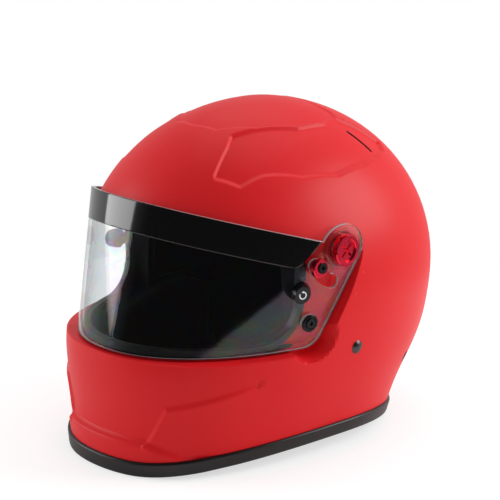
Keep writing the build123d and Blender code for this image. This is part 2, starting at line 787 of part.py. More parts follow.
def anchor_insert(plane, inside):
    """Threaded insert for a neck restraint: six-sided, so that it can't turn in the shell."""
    barrel = six_sided(plane, INSERT_RADIUS, INSERT_LENGTH)
    flange = six_sided(plane, INSERT_FLANGE, INSERT_LENGTH) & inside
    return barrel + flange - inward(plane, INSERT_BORE, INSERT_LENGTH)


def liner_side(margin):
    """Side outline of the crown liner: above the port, behind it and down the back."""
    back = PORT_Y + GASKET_LEG + LINING_GAP + margin
    edge = GASKET_LEG + LINING_GAP + margin - PORT_DROP
    behind = WIDEST_Y + CHEEK_BACK + LINING_GAP + margin
    top_foot = CHEEK_TOP + LINING_GAP + margin
    rear_foot = LINER_REAR_FOOT + margin
    points = (
        (-FAR, edge_height(-FAR, -edge)),
        (back, edge_height(back, -edge)),
        (back, top_foot),
        (behind, top_foot),
        (behind, rear_foot),
        (FAR, rear_foot),
        (FAR, FAR),
        (-FAR, FAR),
    )
    corner = PORT_TOP_CORNER + GASKET_LEG
    return rounded(points, (0, corner, 0, 0, 0, 0, 0, 0))


def crown_liner(insert, nut_base):
    """Crushable foam liner over the crown, sides and back of the head."""
    depth = SHELL_WALL + LINING_GAP
    block = shell_form(depth) & side_prism(liner_side(0))
    block = block - helmet_form(-depth - LINER_WALL)
    nut_room = disc(nut_base - LINING_GAP, FAR, NUT_RADIUS + LINING_GAP, PIVOT_Y, PIVOT_HEIGHT)
    insert_room = six_sided(insert, INSERT_FLANGE + 2 * LINING_GAP, INSERT_LENGTH + LINING_GAP, OVERRUN)
    return block - both_sides(nut_room) - both_sides(insert_room)


def chin_liner():
    """Crushable foam liner behind the chin bar."""
    depth = SHELL_WALL + LINING_GAP
    front = WIDEST_Y - CHEEK_FRONT - LINING_GAP
    top = PORT_FOOT - GASKET_LEG - LINING_GAP
    outline = make_face(
        Polyline(
            (-FAR, CHIN_LINER_FOOT), (front, CHIN_LINER_FOOT), (front, top), (-FAR, top), close=True
        )
    )
    layer = shell_form(depth) - helmet_form(-depth - CHIN_LINER_WALL)
    return layer & side_prism(outline)


def comfort_liner():
    """Padded cloth lining inside the crown liner, with sewn channels from front to back."""
    depth = SHELL_WALL + LINER_WALL + 2 * LINING_GAP
    layer = helmet_form(-depth) - helmet_form(-depth - COMFORT_WALL)
    pad = layer & side_prism(liner_side(COMFORT_MARGIN))
    shallow = helmet_form(-depth - COMFORT_WALL + SEAM_DEPTH)
    for index in range(SEAMS):
        x = (index - (SEAMS - 1) / 2) * SEAM_PITCH
        channel = Pos(x, 0, HEIGHT) * Box(SEAM_WIDTH, 2 * LENGTH, HEIGHT)
        pad = pad - (channel & shallow)
    return pad


def cheek_outline(inset):
    """Side outline of a cheek pad, drawn in by a distance."""
    front = WIDEST_Y - CHEEK_FRONT + inset
    back = WIDEST_Y + CHEEK_BACK - inset
    points = (
        (front, CHEEK_FOOT + inset),
        (back, CHEEK_FOOT + inset),
        (back, CHEEK_TOP - inset),
        (WIDEST_Y - CHEEK_TOP_FRONT - inset / 2, CHEEK_TOP - inset),
        (front, CHEEK_BROW - inset),
    )
    return rounded(points, CHEEK_CORNER)


def cheek_pad():
    """Left cheek pad: a crowned cushion with drawn-in sides and a slot for the strap."""
    outlines = [
        Plane.YZ.offset(CHEEK_FACE + depth * CHEEK_DEPTH) * cheek_outline(inset * CHEEK_CORNER)
        for depth, inset in CHEEK_CROWN_SHARES
    ]
    pad = loft(outlines) & shell_form(SHELL_WALL + GASKET_WALL + LINING_GAP)
    pad = pad - webbing(upper_run() + [(STRAP_REST, LOOP_HEIGHT)], STRAP_SLOT_GAP)
    half = STRAP_WIDTH / 2 + STRAP_SLOT_GAP
    low, high = STRAP_TURN - STRAP_BENDS, STRAP_TOP + STRAP_SLOT_GAP
    room = Pos(STRAP_Y, (low + high) / 2) * Rectangle(2 * half, high - low)
    depth = STRAP_WALL + 2 * WASHER_WALL + STRAP_SLOT_GAP
    return pad - side_prism(room, anchor_x() - depth)


def neck_roll():
    """Padded roll round the back of the neck opening."""
    inward_by = SHELL_WALL + TRIM_WALL + LINING_GAP + ROLL_RADIUS
    rear, half = ROLL_REACH_SHARES
    half, rear = half * HALF_WIDTH - inward_by, rear * REAR_REACH - inward_by
    points = quarter(half, rear, LOWER_SHARES[2][5], 1)
    curves = [
        Bezier(*[(side * x, WIDEST_Y + y, ROLL_HEIGHT) for x, y in points]) for side in (1, -1)
    ]
    path = Wire(curves)
    start = Plane(origin=(half, WIDEST_Y, ROLL_HEIGHT), z_dir=(0, 1, 0))
    roll = sweep(start * Circle(ROLL_RADIUS), path=path)
    end = WIDEST_Y + CHEEK_BACK + LINING_GAP
    behind = Box(2 * WIDTH, FAR, HEIGHT, align=(Align.CENTER, Align.MIN, Align.CENTER))
    return roll & Pos(0, end, 0) * behind


def shell_cuts(insert):
    """Holes in the shell: pivots, detents, rivets, anchor inserts and rear vents."""
    holes = [
        disc(0, FAR, SCREW_STEM + RUNNING_GAP, PIVOT_Y, PIVOT_HEIGHT),
        disc(0, FAR, CAM_SCREW_STEM + RUNNING_GAP, *polar(DETENT_REACH, DETENT_ANGLE)),
        disc(0, FAR, RIVET_STEM, STRAP_Y, RIVET_HEIGHT),
        six_sided(insert, INSERT_RADIUS, INSERT_LENGTH, OVERRUN),
        vent(),
    ]
    return [both_sides(hole) for hole in holes]


def build():
    """Every piece of the helmet by its node's name."""
    body = outer_body()
    inside = shell_form(SHELL_WALL)
    insert = insert_plane(body)
    shell_solid = body - inside - side_prism(port_side(0))
    for hole in shell_cuts(insert):
        shell_solid = shell_solid - hole
    post_plane = visor_point(POST_ALONG_SHARE, POST_HEIGHT)
    sheet = visor(post_plane)
    boss, ring, head = pivot_parts(body)
    stem, nut = stem_and_nut(inside)
    cam, cam_screw = detent_parts(body, inside)
    post, knob = tear_off_parts(post_plane)
    pieces = {
        "outer_shell": shell_solid,
        "neck_trim": neck_trim(shell_solid),
        "eyeport_gasket": eyeport_gasket(shell_solid),
        "visor": sheet,
        "visor_band": visor_band(),
        "crown_impact_liner": crown_liner(insert, nut.bounding_box().min.X),
        "chin_impact_liner": chin_liner(),
        "comfort_liner": comfort_liner(),
        "neck_roll": neck_roll(),
        "chin_strap_left": ring_strap(),
        "chin_strap_right": mirrored(long_strap()),
        "strap_snap": mirrored(strap_snap()),
        "d_ring_outer": d_ring(1),
        "d_ring_inner": d_ring(-1),
    }
    paired = {
        "pivot_boss": boss,
        "pivot_ring": ring,
        "pivot_screw": head + stem,
        "pivot_nut": nut,
        "detent_cam": cam,
        "detent_screw": cam_screw,
        "latch_post": latch_post(body),
        "tear_off_post": post,
        "tear_off_knob": knob,
        "strap_rivet": rivet(body),
        "strap_washer": rivet_washer(),
        "anchor_insert": anchor_insert(insert, inside),
        "cheek_pad": cheek_pad(),
    }
    for name, piece in paired.items():
        pieces[name + "_left"] = piece
        pieces[name + "_right"] = mirrored(piece)
    return pieces


if __name__ == "__main__":
    os.makedirs("parts", exist_ok=True)
    for node, piece in build().items():
        export_step(piece, os.path.join("parts", node + ".step"))
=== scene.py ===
import json
import logging
import math
from collections.abc import Callable, Sequence
from dataclasses import dataclass, field
from enum import Enum

import bpy
import numpy as np
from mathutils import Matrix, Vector


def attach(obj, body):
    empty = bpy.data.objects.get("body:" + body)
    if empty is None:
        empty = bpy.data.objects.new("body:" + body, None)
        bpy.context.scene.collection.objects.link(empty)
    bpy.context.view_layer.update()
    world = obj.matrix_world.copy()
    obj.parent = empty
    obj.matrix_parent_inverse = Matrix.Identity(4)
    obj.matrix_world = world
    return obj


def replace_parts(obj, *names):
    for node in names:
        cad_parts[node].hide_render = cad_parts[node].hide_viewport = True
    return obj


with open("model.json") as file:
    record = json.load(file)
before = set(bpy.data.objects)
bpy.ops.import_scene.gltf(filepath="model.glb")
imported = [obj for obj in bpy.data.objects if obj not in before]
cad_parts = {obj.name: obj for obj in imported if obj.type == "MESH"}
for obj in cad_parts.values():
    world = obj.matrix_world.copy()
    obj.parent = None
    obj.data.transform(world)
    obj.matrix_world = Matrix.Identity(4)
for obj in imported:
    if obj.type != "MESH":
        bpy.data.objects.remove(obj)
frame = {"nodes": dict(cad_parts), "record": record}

LOG = logging.getLogger("helmet")
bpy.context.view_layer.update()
MM = 0.001  # in metres
FAR = 348.0  # millimetres from the middle, past the helmet's front and back
AWAY = 1e3  # the distance in millimetres to a line that a place has nothing to do with
BATCH = 4_000_000  # how many distances from a place to a run of a line are worked out at once
KEY = 10_000_000  # a corner's number is its column times this, plus its row
PROBE = 0.4  # how far from a corner a slope is measured, in steps of the finest grid
CATCH = 0.56  # a corner this near to a line, in those steps, moves onto it
LONGEST_MOVE = 0.95  # a corner that would have to move further stays
Array = np.ndarray
Pair = tuple[float, float]
Corners = tuple[Pair, ...]
Numbers = tuple[float, ...]
Material = bpy.types.Material
Piece = bpy.types.Object


class Side(Enum):
    """A side of the wearer, by the sign of X on it."""

    LEFT = 1
    RIGHT = -1

    @property
    def word(self) -> str:
        """The end of the names of the nodes on this side."""
        return self.name.lower()


# ---- Plain geometry, in millimetres


def ease(x: Array) -> Array:
    """Smooth step from 0 to 1, level at both ends."""
    x = np.clip(x, 0.0, 1.0)
    return x * x * (3 - 2 * x)


def heading(degrees: float) -> Array:
    """The direction at an angle in a plane."""
    return np.array([math.cos(math.radians(degrees)), math.sin(math.radians(degrees))])


def disc_distance(places: Array, disc: Sequence[float]) -> Array:
    """Distance from places in a plane to the rim of a disc, which is its middle and radius: negative inside it."""
    return np.hypot(places[:, 0] - disc[0], places[:, 1] - disc[1]) - disc[2]


def round_corners(points: Sequence[Sequence[float]], radii: Sequence[float], steps: int = 8) -> Array:
    """A closed line whose corners are arcs.

    Each arc touches both runs at the distance radius / tan(half the corner's angle) from the corner.

    Args:
        points: the corners, in a plane.
        radii: one radius for each corner; 0 leaves it sharp.
        steps: how many pieces each arc has.

    Returns:
        The points of the rounded line.
    """
    corners = np.asarray(points, float)
    out = []
    for i, radius in enumerate(radii):
        here = corners[i]
        before, after = corners[i - 1] - here, corners[(i + 1) % len(corners)] - here
        before, after = before / np.linalg.norm(before), after / np.linalg.norm(after)
        half = 0.5 * math.acos(float(np.clip(before @ after, -1, 1)))
        if radius == 0 or half > math.pi / 2 - 1e-3:
            out.append(here[None])
            continue
        middle = (before + after) / np.linalg.norm(before + after)
        centre = here + middle * radius / math.sin(half)
        reach = radius / math.tan(half)
        a, b = here + before * reach - centre, here + after * reach - centre
        first = math.atan2(a[1], a[0])
        turn = (math.atan2(b[1], b[0]) - first + math.pi) % (2 * math.pi) - math.pi
        angle = first + turn * np.linspace(0, 1, steps + 1)
        out.append(centre + radius * np.stack([np.cos(angle), np.sin(angle)], 1))
    return np.concatenate(out)


def outline_distance(places: Array, outline: Array) -> Array:
    """Distance from places in a plane to a closed line, negative inside it.

    A place is inside where a ray from it crosses the line an odd number of times.

    Args:
        places: an array of places, one a row.
        outline: the closed line's points.

    Returns:
        One distance for each place.
    """
    a, b = outline, np.roll(outline, -1, 0)
    run = b - a
    length = np.maximum((run**2).sum(1), 1e-12)
    out = np.empty(len(places))
    for part in np.array_split(np.arange(len(places)), len(places) * len(a) // BATCH + 1):
        p = places[part][:, None, :]
        share = np.clip(((p - a) * run).sum(2) / length, 0, 1)
        near = np.sqrt(((p - a - share[..., None] * run) ** 2).sum(2)).min(1)
        over = (a[:, 1] > p[..., 1]) != (b[:, 1] > p[..., 1])
        with np.errstate(divide="ignore", invalid="ignore"):
            cross = a[:, 0] + (p[..., 1] - a[:, 1]) * run[:, 0] / run[:, 1]
        inside = (over & (p[..., 0] < cross)).sum(1) % 2 == 1
        out[part] = np.where(inside, -near, near)
    return out


def quarter_curve(share: Array, fullness: Array) -> tuple[Array, Array]:
    """Shares of the half width and of the reach along one quarter curve.

    The curve is a cubic with its corners at (1, 0), (1, fullness), (fullness, 1) and (0, 1).

    Args:
        share: the place along the curve, from the widest line at 0 to the middle plane at 1.
        fullness: how far the curve follows its corner, 0.552 for a round one.

    Returns:
        The share across and the share along.
    """
    a, b = (1 - share) ** 3, 3 * share * (1 - share) ** 2
    c, d = 3 * share**2 * (1 - share), share**3
    return a + b + fullness * c, fullness * b + c + d


class Spline:
    """A smooth curve through a table's rows: free at its low end and level at its high end."""

    def __init__(self, places: Sequence[float], values: Sequence[Sequence[float]]) -> None:
        """Works out the bends at the table's rows.

        Args:
            places: rising places.
            values: a row of values at each place.
        """
        self.x, self.y = np.asarray(places, float), np.asarray(values, float)
        n, step = len(self.x), np.diff(self.x)
        slope = np.diff(self.y, axis=0) / step[:, None]
        system, right = np.zeros((n, n)), np.zeros_like(self.y)
        system[0, 0] = 1
        for i in range(1, n - 1):
            system[i, i - 1 : i + 2] = step[i - 1], 2 * (step[i - 1] + step[i]), step[i]
            right[i] = 6 * (slope[i] - slope[i - 1])
        system[-1, -2:] = step[-1], 2 * step[-1]
        right[-1] = -6 * slope[-1]
        self.bend = np.linalg.solve(system, right)

    def at(self, places: Array) -> Array:
        """The table's values at places, one row for each."""
        i = np.clip(np.searchsorted(self.x, places) - 1, 0, len(self.x) - 2)
        step = (self.x[i + 1] - self.x[i])[:, None]
        a = (self.x[i + 1][:, None] - places[:, None]) / step
        b = 1 - a
        bends = (a**3 - a) * self.bend[i] + (b**3 - b) * self.bend[i + 1]
        return a * self.y[i] + b * self.y[i + 1] + bends * step**2 / 6


# ---- Surfaces on a grid of cells that are divided where they need it


@dataclass
class CellGrid:
    """A square of cells, divided near lines so that a surface can carry fine edges.

    Cells are kept by their low corner and their size on the finest grid. A cell whose neighbour is half its size takes
    the neighbour's corner into its own ring, so that no crack opens. The surface may close on itself across, and may
    end in a pole at the top.
    """

    columns: int
    rows: int
    depth: int
    closed: bool = False
    pole: bool = False
    cells: Array = field(init=False)
    size: Array = field(init=False)

    def __post_init__(self) -> None:
        """Lays out the coarse cells."""
        step = 2**self.depth
        i, j = np.meshgrid(np.arange(self.columns) * step, np.arange(self.rows) * step, indexing="ij")
        self.cells = np.stack([i.ravel(), j.ravel()], 1)
        self.size = np.full(len(self.cells), step)

    @property
    def scale(self) -> Array:
        """The finest grid's steps across and up."""
        return np.array([self.columns, self.rows], float) * 2**self.depth

    def refine(self, distance: Callable[[Array], Array], reach: Sequence[float]) -> None:
        """Divides cells near lines into four, once for each reach.

        Args:
            distance: gives the distance to the nearest line at places on the unit square.
            reach: the distance within which cells are divided, for each turn.
        """
        for turn, limit in enumerate(reach):
            near = self.size == 2 ** (self.depth - turn)
            middle = (self.cells[near] + self.size[near, None] / 2) / self.scale
            near[near] = distance(middle) < limit
            half = self.size[near] // 2
            parts = [self.cells[near] + half[:, None] * np.array(s) for s in ((0, 0), (1, 0), (0, 1), (1, 1))]
            self.cells = np.concatenate([self.cells[~near], *parts])
            self.size = np.concatenate([self.size[~near]] + [half] * 4)

    def mesh(self) -> tuple[Array, Array]:
        """Corner places and the cells' rings of corners.

        Returns:
            The corners on the finest grid, and eight corner numbers for each cell, -1 where a side has no middle.
        """
        ring = np.array([(0, 0), (0, 1), (0, 2), (1, 2), (2, 2), (2, 1), (2, 0), (1, 0)])
        doubled = 2 * self.cells[:, None, :] + self.size[:, None, None] * ring
        if self.closed:
            doubled[..., 0] %= int(self.scale[0] * 2)
        top = doubled[..., 1] == int(self.scale[1] * 2)
        if self.pole:
            doubled[top, 0] = 0
        key = doubled[..., 0] * KEY + doubled[..., 1]
        known = np.unique(key[:, ::2])
        spot = np.clip(np.searchsorted(known, key), 0, len(known) - 1)
        found = np.where(known[spot] == key, spot, -1)
        if self.pole:
            found[top[:, 3], 3:5] = -1
        return np.stack(np.divmod(known, KEY), 1) / 2, found


@dataclass
class Skin:
    """A surface worked out from two parameters, bent to lines and cut along some of them."""

    places: Array
    faces: list[Array]

    @classmethod
    def cut(cls, grid: CellGrid, lines: Callable[[Array], Array], holes: int) -> "Skin":
        """Moves a grid's corners onto lines and drops the cells inside the first of them.

        A corner within about half a cell of a line moves onto it, down the distance's slope on the grid. A cell that
        a line crosses from corner to corner is cut in two there.

        Args:
            grid: the divided cells.
            lines: gives the distances to the lines at places on the unit square, one column for each line.
            holes: how many of the first lines are cut out where the distance is negative.

        Returns:
            The cut surface, with its corners as places on the unit square.
        """
        corners, ring = grid.mesh()
        scale = grid.scale
        values = lines(corners / scale)
        # Corners far from every line are left out here, which only saves time.
        near = np.abs(values).min(1)
        rows = np.flatnonzero(near < 4 * np.median(near[near < np.quantile(near, 0.3)]) + 4)
        pick = np.abs(values).argmin(1)[rows]

        def distance(places: Array) -> Array:
            """Distance to each corner's own line."""
            return lines(places / scale)[np.arange(len(pick)), pick]

        base, here = corners[rows], values[rows, pick]
        slope = np.stack([distance(base + step) - here for step in np.eye(2) * PROBE], 1) / PROBE
        steep = np.maximum((slope**2).sum(1), 1e-12)
        edge = (base[:, 1] == 0) | (base[:, 1] == scale[1])
        on = (np.abs(here) < CATCH * np.sqrt(steep)) & ~edge
        rows, pick, base, slope, steep = rows[on], pick[on], base[on], slope[on], steep[on]
        moved = base.copy()
        for _ in range(3):
            moved -= (distance(moved) / steep)[:, None] * slope
        fits = np.hypot(*(moved - base).T) < LONGEST_MOVE
        line_of = np.full(len(corners), -1)
        line_of[rows[fits]] = pick[fits]
        corners[rows[fits]] = moved[fits]
        places = corners / scale
        values = lines(places)
        values[line_of >= 0, line_of[line_of >= 0]] = 0
        return cls(places, cls._faces(ring, line_of, values[:, :holes]))

    @staticmethod
    def _faces(ring: Array, line_of: Array, values: Array) -> list[Array]:
        """Faces from the cells' rings, without those that lie inside a hole.

        Args:
            ring: eight corner numbers for each cell, -1 where a side has no middle.
            line_of: the line that each corner was moved onto, or -1.
            values: each corner's distances to the lines that are holes.

        Returns:
            Blocks of faces, each block with one count of corners a face.
        """
        plain = ((ring >= 0).sum(1) == 4) & (ring[:, 1::2] < 0).all(1)
        quads = ring[plain][:, ::2]
        marks = line_of[quads]
        first = (marks[:, 0] >= 0) & (marks[:, 0] == marks[:, 2])
        second = (marks[:, 1] >= 0) & (marks[:, 1] == marks[:, 3]) & ~first
        halves = ((first, (0, 1, 2)), (first, (0, 2, 3)), (second, (1, 2, 3)), (second, (1, 3, 0)))
        blocks = [quads[~first & ~second], np.concatenate([quads[cut][:, corners] for cut, corners in halves])]
        odd = ring[~plain]
        sizes = (odd >= 0).sum(1)
        for size in np.unique(sizes):
            rows = odd[sizes == size]
            blocks.append(rows[rows >= 0].reshape(-1, size))
        kept = [block[(values[block].mean(1) > 0).all(1)] for block in blocks if len(block)]
        return [block for block in kept if len(block)]


def new_object(name: str, points: Array, faces: Sequence[Array], finish: Material, sharp: float = 35.0) -> Piece:
    """Makes a mesh object from points in millimetres, and logs it.

    Args:
        name: the piece's name.
        points: its corners, one a row.
        faces: blocks of corner numbers, each block with one count of corners a face.
        finish: its material.
        sharp: edges that turn more than this many degrees stay sharp.

    Returns:
        The new object, at the origin.
    """
    used = np.unique(np.concatenate([block.ravel() for block in faces]))
    number = np.full(len(points), -1)
    number[used] = np.arange(len(used))
    loops = np.concatenate([number[block].ravel() for block in faces])
    totals = np.concatenate([np.full(len(block), block.shape[1]) for block in faces])
    mesh = bpy.data.meshes.new(name)
    mesh.vertices.add(len(used))
    mesh.vertices.foreach_set("co", (points[used] * MM).astype(np.float32).ravel())
    mesh.loops.add(len(loops))
    mesh.loops.foreach_set("vertex_index", loops.astype(np.int32))
    mesh.polygons.add(len(totals))
    mesh.polygons.foreach_set("loop_start", (np.cumsum(totals) - totals).astype(np.int32))
    mesh.polygons.foreach_set("use_smooth", np.ones(len(totals), bool))
    mesh.update(calc_edges=True)
    mesh.validate()
    mesh.set_sharp_from_angle(angle=math.radians(sharp))
    mesh.materials.append(finish)
    piece = bpy.data.objects.new(name, mesh)
    bpy.context.scene.collection.objects.link(piece)
    LOG.info("%s: %d corners, %d faces", name, len(used), len(totals))
    return piece


def grid_faces(rows: int, columns: int, closed_rows: bool = False, closed_columns: bool = False) -> Array:
    """Quads between the points of a table that is stored row after row."""
    i = np.arange(rows if closed_rows else rows - 1)[:, None]
    j = np.arange(columns if closed_columns else columns - 1)[None]
    k, m = (i + 1) % rows, (j + 1) % columns
    corners = (i * columns + j, i * columns + m, k * columns + m, k * columns + j)
    return np.stack(np.broadcast_arrays(*corners), -1).reshape(-1, 4)


def face_outwards(piece: Piece) -> Piece:
    """Turns a closed mesh right side out, by the sign of its volume."""
    mesh = piece.data
    mesh.calc_loop_triangles()
    points = np.empty(len(mesh.vertices) * 3)
    mesh.vertices.foreach_get("co", points)
    corners = np.empty(len(mesh.loop_triangles) * 3, np.int32)
    mesh.loop_triangles.foreach_get("vertices", corners)
    a, b, c = points.reshape(-1, 3)[corners.reshape(-1, 3)].transpose(1, 0, 2)
    if (a * np.cross(b, c)).sum() < 0:
        mesh.flip_normals()
    return piece


def solidify(piece: Piece, wall: float, side: float = -1.0) -> None:
    """Gives a sheet a wall in millimetres: inwards for a side of -1, outwards for 1."""
    modifier = piece.modifiers.new("wall", "SOLIDIFY")
    modifier.thickness = wall * MM
    modifier.offset = side
    modifier.use_quality_normals = True


def bevel(piece: Piece, width: float, segments: int = 2, angle: float = 40.0) -> None:
    """Rounds a piece's sharp edges by a width in millimetres."""
    modifier = piece.modifiers.new("edges", "BEVEL")
    modifier.width = width * MM
    modifier.segments = segments
    modifier.limit_method = "ANGLE"
    modifier.angle_limit = math.radians(angle)


def sweep(name: str, path: Array, out: Array, profile: Array, finish: Material, closed: bool = False) -> Piece:
    """Carries a profile along a path.

    At each point the profile's first axis lies along the given outward direction, made square to the path, and its
    second axis is square to both.

    Args:
        name: the piece's name.
        path: points in millimetres.
        out: the outward direction at each point.
        profile: the closed profile's points, in millimetres.
        finish: the material.
        closed: whether the path's end joins its start.

    Returns:
        The new object.
    """
    ahead = np.roll(path, -1, 0) - np.roll(path, 1, 0)
    if not closed:
        ahead[0], ahead[-1] = path[1] - path[0], path[-1] - path[-2]
    ahead /= np.linalg.norm(ahead, axis=1)[:, None]
    out = out - (out * ahead).sum(1)[:, None] * ahead
    out /= np.linalg.norm(out, axis=1)[:, None]
    up = np.cross(ahead, out)
    points = path[:, None] + profile[None, :, 0, None] * out[:, None] + profile[None, :, 1, None] * up[:, None]
    n, m = len(path), len(profile)
    faces = [grid_faces(n, m, closed, True)]
    if not closed:
        faces += [np.arange(m)[None, ::-1], ((n - 1) * m + np.arange(m))[None]]
    return face_outwards(new_object(name, points.reshape(-1, 3), faces, finish))


# ---- The helmet's free forms


@dataclass(frozen=True)
class HelmetForm:
    """The shell's smooth form: level outlines of four quarter curves, with a dome above the shoulder.

    Each of the rows holds a height as a share of the helmet's, the shares of the front reach, the rear reach and the
    half width there, and the front and rear curves' fullness.
    """

    length: float = 328.0
    width: float = 242.0
    height: float = 268.0
    rear_reach: float = 156.0
    shoulder: float = 128.0
    foot: float = -3.0
    shoulder_share: float = 0.40
    lip_step: float = 4.5
    rows: tuple[tuple[float, ...], ...] = (
        (-0.060, 0.948, 0.680, 0.760, 0.70, 0.57),
        (0.000, 0.959, 0.700, 0.793, 0.70, 0.57),
        (0.075, 0.959, 0.738, 0.839, 0.70, 0.57),
        (0.149, 0.956, 0.798, 0.884, 0.69, 0.57),
        (0.224, 0.968, 0.878, 0.934, 0.67, 0.575),
        (0.306, 0.971, 0.952, 0.971, 0.66, 0.58),
        (0.388, 0.945, 0.990, 0.990, 0.64, 0.58),
        (0.478, 0.890, 1.000, 1.000, 0.62, 0.585),
    )
    dome_fullness: Pair = (0.61, 0.585)
    dome_powers: Pair = (0.9, 1.05)
    dome_blend: float = 12.0
    cap_angle: float = 86.5

    @property
    def half(self) -> float:
        """Half the width."""
        return self.width / 2

    @property
    def front_reach(self) -> float:
        """From the widest line to the front."""
        return self.length - self.rear_reach

    @property
    def widest_y(self) -> float:
        """Where the widest line lies."""
        return self.length / 2 - self.rear_reach

    @property
    def base_shares(self) -> tuple[float, float]:
        """Shares of the front reach and of the half width at the height of 0."""
        return self.rows[1][1], self.rows[1][3]

    def outline_sizes(self, v: Array) -> Array:
        """Height, front reach, rear reach, half width and the two fullnesses at each v.

        Below the shoulder they follow a spline through the rows. Above it the reaches shrink as powers of the cosine
        of an angle that rises to 90 degrees, and the height rises as its sine.
        """
        table = np.array(self.rows)
        spline = Spline(table[:, 0] * self.height, table[:, 1:])
        low = np.clip(v / self.shoulder_share, 0, 1)
        z = self.foot + (self.shoulder - self.foot) * low
        front, rear, half, front_full, rear_full = spline.at(z).T
        angle = np.radians(90 * np.clip((v - self.shoulder_share) / (1 - self.shoulder_share), 0, 1))
        inward = np.maximum(np.cos(angle), 0)
        rise = (self.height - self.shoulder) * np.sin(angle) / math.sin(math.radians(self.cap_angle))
        over = v > self.shoulder_share
        blend = np.where(over, ease(angle / math.radians(self.dome_blend)), 0)
        front_full = front_full + blend * (self.dome_fullness[0] - front_full)
        rear_full = rear_full + blend * (self.dome_fullness[1] - rear_full)
        front = front * self.front_reach * np.where(over, inward ** self.dome_powers[0], 1)
        rear = rear * self.rear_reach * np.where(over, inward ** self.dome_powers[1], 1)
        half = half * self.half * np.where(over, inward, 1)
        return np.stack([np.minimum(z + rise, self.height), front, rear, half, front_full, rear_full], 1)

    def at(self, places: Array) -> Array:
        """Points of the form at places on the unit square: round from the back by the left, and up."""
        quarter = (places[:, 0] % 1) * 4
        part = np.floor(quarter).astype(int)
        inside = quarter - part
        share = np.where(part % 2 == 0, 1 - inside, inside)
        z, front, rear, half, front_full, rear_full = self.outline_sizes(places[:, 1]).T
        ahead = (part == 1) | (part == 2)
        across, along = quarter_curve(share, np.where(ahead, front_full, rear_full))
        x = np.where(part < 2, 1, -1) * half * across
        y = self.widest_y + np.where(ahead, -front, rear) * along
        return np.stack([x, y, z], 1)

    def normals(self, places: Array, step: float = 2e-4) -> Array:
        """Outward directions of the form at places on the unit square."""
        top = 1 - 3 * step
        v = np.minimum(places[:, 1], top)
        here = np.stack([places[:, 0], v], 1)
        across = self.at(here + [step, 0]) - self.at(here - [step, 0])
        up = self.at(here + [0, step]) - self.at(here - [0, step])
        normal = np.cross(up, across)
        normal /= np.maximum(np.linalg.norm(normal, axis=1), 1e-9)[:, None]
        normal[places[:, 1] > top] = (0, 0, 1)
        return normal


@dataclass(frozen=True)
class VisorForm:
    """The visor's outer face: level outlines of two quarter curves with straight sides behind them.

    Its half width grows and its front reach shrinks with the height above its foot, by the flare and the rake.
    """

    foot: float = 94.0
    front: float = 163.0
    half: float = 111.5
    rake: float = 0.234
    flare: float = 0.092
    fullness: float = 0.584
    widest_y: float = 8.0
    low: float = 88.0
    high: float = 216.0
    behind: float = 24.0
    behind_share: float = 0.06
    lookup: int = 400
    turn_from: float = -35.0
    turn_over: float = 50.0
    longest_way: float = 0.4
    halvings: int = 18

    def sizes(self, z: Array, grow: float = 0.0) -> tuple[Array, Array]:
        """Half width and front reach at a height, grown outwards."""
        climb = z - self.foot
        return self.half + climb * self.flare + grow, self.front - climb * self.rake + grow

    def at(self, places: Array, grow: float = 0.0) -> Array:
        """Points at places on the unit square: from the left rear round the front to the right, and up."""
        z = self.low + (self.high - self.low) * places[:, 1]
        half, front = self.sizes(z, grow)
        u = np.where(places[:, 0] > 0.5, 1 - places[:, 0], places[:, 0])
        share = np.clip((u - self.behind_share) / (0.5 - self.behind_share), 0, 1)
        across, along = quarter_curve(share, self.fullness)
        back = np.maximum(0, self.behind * (1 - u / self.behind_share))
        x = np.where(places[:, 0] > 0.5, -1, 1) * half * across
        return np.stack([x, self.widest_y - front * along + back, z], 1)

    def outside(self, points: Array, grow: float) -> Array:
        """How far points lie outside the form, as a share of their own radius from the middle of their level.

        In the quarter's unit square the curve's radius is looked up by the angle. Behind the widest line the sides
        are straight.
        """
        half, front = self.sizes(points[:, 2], grow)
        x, y = np.abs(points[:, 0]) / half, (self.widest_y - points[:, 1]) / front
        table = np.stack(quarter_curve(np.linspace(0, 1, self.lookup), self.fullness), 1)
        angle = np.arctan2(table[:, 1], table[:, 0])
        edge = np.interp(np.arctan2(np.maximum(y, 0), x), angle, np.hypot(*table.T))
        return np.where(y > 0, np.hypot(x, y) / edge, x) - 1

    def drop_onto(self, points: Array, grow: float) -> Array:
        """Carries points inwards onto the form at their own height, and leaves those inside it.

        Beside the head they move straight in, and ahead of it towards the middle. The way is halved until it ends on
        the form.
        """
        turn = ease((self.turn_from - points[:, 1]) / self.turn_over)
        way = np.stack([points[:, 0], turn * (points[:, 1] - self.widest_y), np.zeros(len(points))], 1)
        low, high = np.zeros(len(points)), np.full(len(points), self.longest_way)
        for _ in range(self.halvings):
            middle = (low + high) / 2
            out = self.outside(points - middle[:, None] * way, grow) > 0
            low, high = np.where(out, middle, low), np.where(out, high, middle)
        share = np.where(self.outside(points, grow) > 0, high, 0)
        return points - share[:, None] * way


